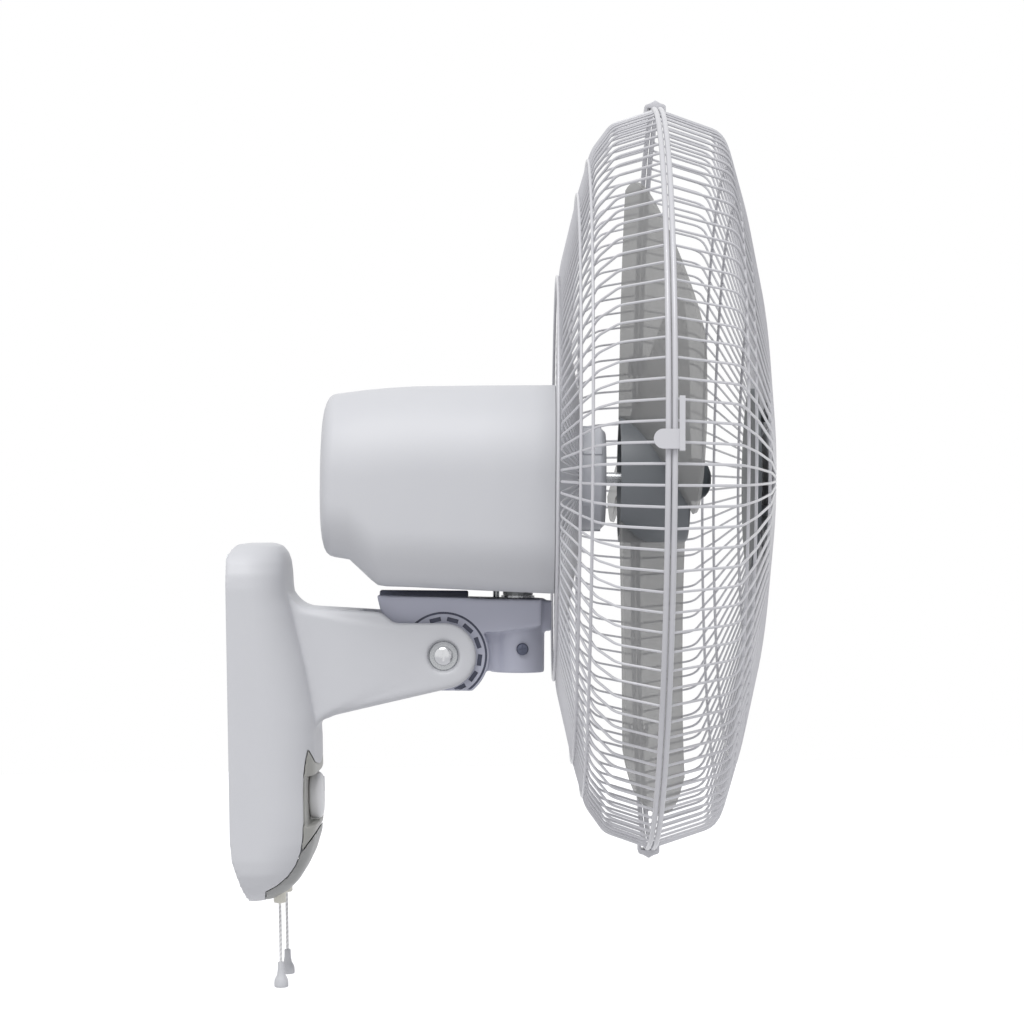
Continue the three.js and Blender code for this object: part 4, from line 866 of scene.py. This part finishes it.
# ---- rim latch ------------------------------------------------------------------------------------
# The moulded latch on the near side: a bar beside the front rim whose rounded tab hooks back over
# both rims. It turns on its bar to let the front guard go.
latch_turn = clip_step * 12.5
latch_low = clip_seat + 0.3
latch = block((-14.5, -6.8, latch_low), (14.5, -3.8, latch_low + 2.8))
latch_tab = block((-13.5, -5.3, latch_low), (-3, 4.4, latch_low + 1.6))
latch_end = bar(5.25, (-8.25, 4.4, latch_low), (-8.25, 4.4, latch_low + 1.6), 48)
latch = worked(latch, join(latch_tab, latch_end))
soften(latch, 0.5, 2, over=50)
turn = Matrix.Translation((0, -rim_f, fan_axis)) @ Matrix.Rotation(math.radians(90 - latch_turn), 4, "Y")
piece_from(latch, "latch_moulding", guard_coat, "latch", ["rim_latch"], head_frame @ turn, 30)

# ---- fan blades -----------------------------------------------------------------------------------
# Three broad swept blades, injection moulded in smoky translucent plastic.
smoky_plastic, tree, place = start_material("moulded_smoky_translucent_plastic")
smoke_flow = add_node(tree, "ShaderNodeTexNoise", {"Vector": place, "Scale": 1 / (60 * MM), "Detail": 2})
smoke_colour = add_node(tree, "ShaderNodeMix", {
    "Factor": smoke_flow.outputs["Fac"], 6: to_linear("#b0b0af"), 7: to_linear("#b8b8b7")}, data_type="RGBA")
smoke_skin = add_node(tree, "ShaderNodeTexNoise", {"Vector": place, "Scale": 1 / (2 * MM)})
smoke_bump = add_node(tree, "ShaderNodeBump", {
    "Height": smoke_skin.outputs["Fac"], "Strength": 0.15, "Distance": 0.05 * MM})
smoke_body = add_node(tree, "ShaderNodeBsdfPrincipled", {
    "Base Color": smoke_colour.outputs[2], "Roughness": 0.35, "IOR": 1.49, "Specular IOR Level": 0.2,
    "Normal": smoke_bump.outputs[0]})
smoke_glow = add_node(tree, "ShaderNodeBsdfTranslucent", {"Color": smoke_colour.outputs[2]})
smoke_clear = add_node(tree, "ShaderNodeBsdfTransparent", {"Color": to_linear("#f3f3f3")})
smoke_lit = add_node(tree, "ShaderNodeMixShader", {
    0: 0.5, 1: smoke_body.outputs[0], 2: smoke_glow.outputs[0]})
end_material(tree, add_node(tree, "ShaderNodeMixShader", {
    0: 0.4, 1: smoke_lit.outputs[0], 2: smoke_clear.outputs[0]}))

hub_radius = 37.9
blade_radius = 200
blade_rear = 104
blade_front = 146
hub_front = 145.4
blade_thick = 2.2


def mixed(a, b, share):
    return a + (b - a) * share


def blade_point(share, t, turn_by):
    """A point of a blade: share runs out from the hub, t from the leading to the trailing edge."""
    reach = blade_radius - 16 * abs(2 * t - 1) ** 5
    r = mixed(hub_radius - 1.6, reach, share)
    lead = mixed(12, 27, share) - 12 * share * (1 - share)
    turn = math.radians(mixed(lead, mixed(118, 70, share), t) + turn_by)
    f = mixed(blade_rear, blade_front, t)
    return Vector((-r * math.sin(turn), -f, fan_axis + r * math.cos(turn)))


blades = bmesh.new()
blade_columns, blade_rows = 40, 32
for turn_by in (0, 120, 240):
    sheet = bmesh.new()
    bmesh.ops.create_grid(sheet, x_segments=blade_columns, y_segments=blade_rows, size=0.5)
    for vert in sheet.verts:
        vert.co = blade_point(vert.co.y + 0.5, vert.co.x + 0.5, turn_by)
    bmesh.ops.recalc_face_normals(sheet, faces=sheet.faces)
    bmesh.ops.solidify(sheet, geom=sheet.faces[:], thickness=blade_thick)
    depth = [v.co.y for v in sheet.verts]
    middle = -(blade_rear + blade_front) / 2
    shift = middle - (min(depth) + max(depth)) / 2
    bmesh.ops.translate(sheet, verts=sheet.verts, vec=(0, shift, 0))
    soften(sheet, 0.7, 2, over=60)
    add_to(blades, sheet)
piece_from(blades, "blades", smoky_plastic, "rotor", ["fan_blade"], head_frame, 40)

# ---- blade hub ------------------------------------------------------------------------------------
# The dark cup in the blades' middle, one moulding with them on the real fan.
hub_abs = moulded("moulded_slate_grey_abs", "#7b7f83", "#73777b", 0.42)
hub = turned_solid([
    (4.3, 109.2), (10, 109.2), (10, hub_front - 3), (hub_radius - 3, hub_front - 3),
    (hub_radius - 3, blade_rear), (hub_radius, blade_rear), (hub_radius, hub_front - 2.6),
    (hub_radius - 0.6, hub_front - 1.2), (hub_radius - 2, hub_front - 0.3), (hub_radius - 4, hub_front),
    (4.3, hub_front)], 120)
bmesh.ops.transform(hub, matrix=nut_turn, verts=hub.verts)
piece_from(hub, "hub_cup", hub_abs, "rotor", ["fan_blade"], head_frame, 30)

# ---- spinner nut ----------------------------------------------------------------------------------
# The dark nut on the shaft's end that holds the blades.
spinner = turned_solid([
    (4.3, hub_front + 0.3), (12.4, hub_front + 0.3), (13, hub_front + 0.9), (13, hub_front + 5.6),
    (12.4, hub_front + 7), (10, hub_front + 10.6), (7.6, hub_front + 12.4), (4.4, hub_front + 13.6),
    (0, hub_front + 14), (0, hub_front + 4.9), (4.3, hub_front + 4.9)], 72)
bmesh.ops.transform(spinner, matrix=nut_turn, verts=spinner.verts)
spinner_grips = []
for i in range(9):
    turn = math.tau * i / 9
    x, z = 13.6 * math.cos(turn), fan_axis + 13.6 * math.sin(turn)
    spinner_grips.append(bar(1.6, (x, -hub_front, z), (x, -hub_front - 9, z), 16))
spinner = worked(spinner, cut(*spinner_grips))
piece_from(spinner, "spinner", disc_abs, "rotor", ["spinner_nut"], head_frame, 30)

# ---- stage ----------------------------------------------------------------------------------------
# A pale floor under the fan, one broad lamp above it on the camera's side, and a world that is white to
# the camera and to glossy and transmission rays, and lights the fan more softly than it shows.
floor_mesh = bpy.data.meshes.new("floor")
floor_bm = bmesh.new()
bmesh.ops.create_grid(floor_bm, x_segments=1, y_segments=1, size=3)
floor_bm.to_mesh(floor_mesh)
floor_bm.free()
floor = bpy.data.objects.new("floor", floor_mesh)
floor.location = (0, 0, -0.3)
bpy.context.scene.collection.objects.link(floor)
floor_paint, tree, place = start_material("matt_white_paint")
floor_tone = add_node(tree, "ShaderNodeTexNoise", {"Vector": place, "Scale": 2})
floor_colour = add_node(tree, "ShaderNodeMix", {
    "Factor": floor_tone.outputs["Fac"], 6: to_linear("#e9e9ea"), 7: to_linear("#ececed")}, data_type="RGBA")
floor_seen = add_node(tree, "ShaderNodeLightPath")
floor_glow = add_node(tree, "ShaderNodeEmission", {"Color": (1, 1, 1, 1), "Strength": 0.25})
floor_unseen = add_node(tree, "ShaderNodeEmission", {"Color": (1, 1, 1, 1), "Strength": 0})
floor_added = add_node(tree, "ShaderNodeMixShader", {
    0: floor_seen.outputs["Is Camera Ray"], 1: floor_unseen.outputs[0], 2: floor_glow.outputs[0]})
floor_bare = add_node(tree, "ShaderNodeBsdfDiffuse", {"Color": floor_colour.outputs[2], "Roughness": 0.5})
end_material(tree, add_node(tree, "ShaderNodeAddShader", {
    0: floor_bare.outputs[0], 1: floor_added.outputs[0]}))
floor_mesh.materials.append(floor_paint)

world = bpy.data.worlds.new("studio")
world.use_nodes = True
tree = world.node_tree
tree.nodes.clear()
ambient = add_node(tree, "ShaderNodeBackground", {"Color": to_linear("#fcfcff"), "Strength": 0.52})
white = add_node(tree, "ShaderNodeBackground", {"Color": (1, 1, 1, 1), "Strength": 1})
rays = add_node(tree, "ShaderNodeLightPath")
seen = add_node(tree, "ShaderNodeMath", {
    0: rays.outputs["Is Camera Ray"], 1: rays.outputs["Is Glossy Ray"]}, operation="MAXIMUM")
seen_through = add_node(tree, "ShaderNodeMath", {
    0: seen.outputs[0], 1: rays.outputs["Is Transmission Ray"]}, operation="MAXIMUM")
studio = add_node(tree, "ShaderNodeMixShader", {
    0: seen_through.outputs[0], 1: ambient.outputs[0], 2: white.outputs[0]})
add_node(tree, "ShaderNodeOutputWorld", {"Surface": studio.outputs[0]})
bpy.context.scene.world = world

key_light = bpy.data.lights.new("key", "SUN")
key_light.angle = math.radians(35)
key_light.energy = 2.0
key = bpy.data.objects.new("key", key_light)
key.matrix_world = Vector((0.55, -0.1, -0.95)).to_track_quat("-Z", "Y").to_matrix().to_4x4()
bpy.context.scene.collection.objects.link(key)
bpy.context.scene.view_settings.view_transform = "Standard"
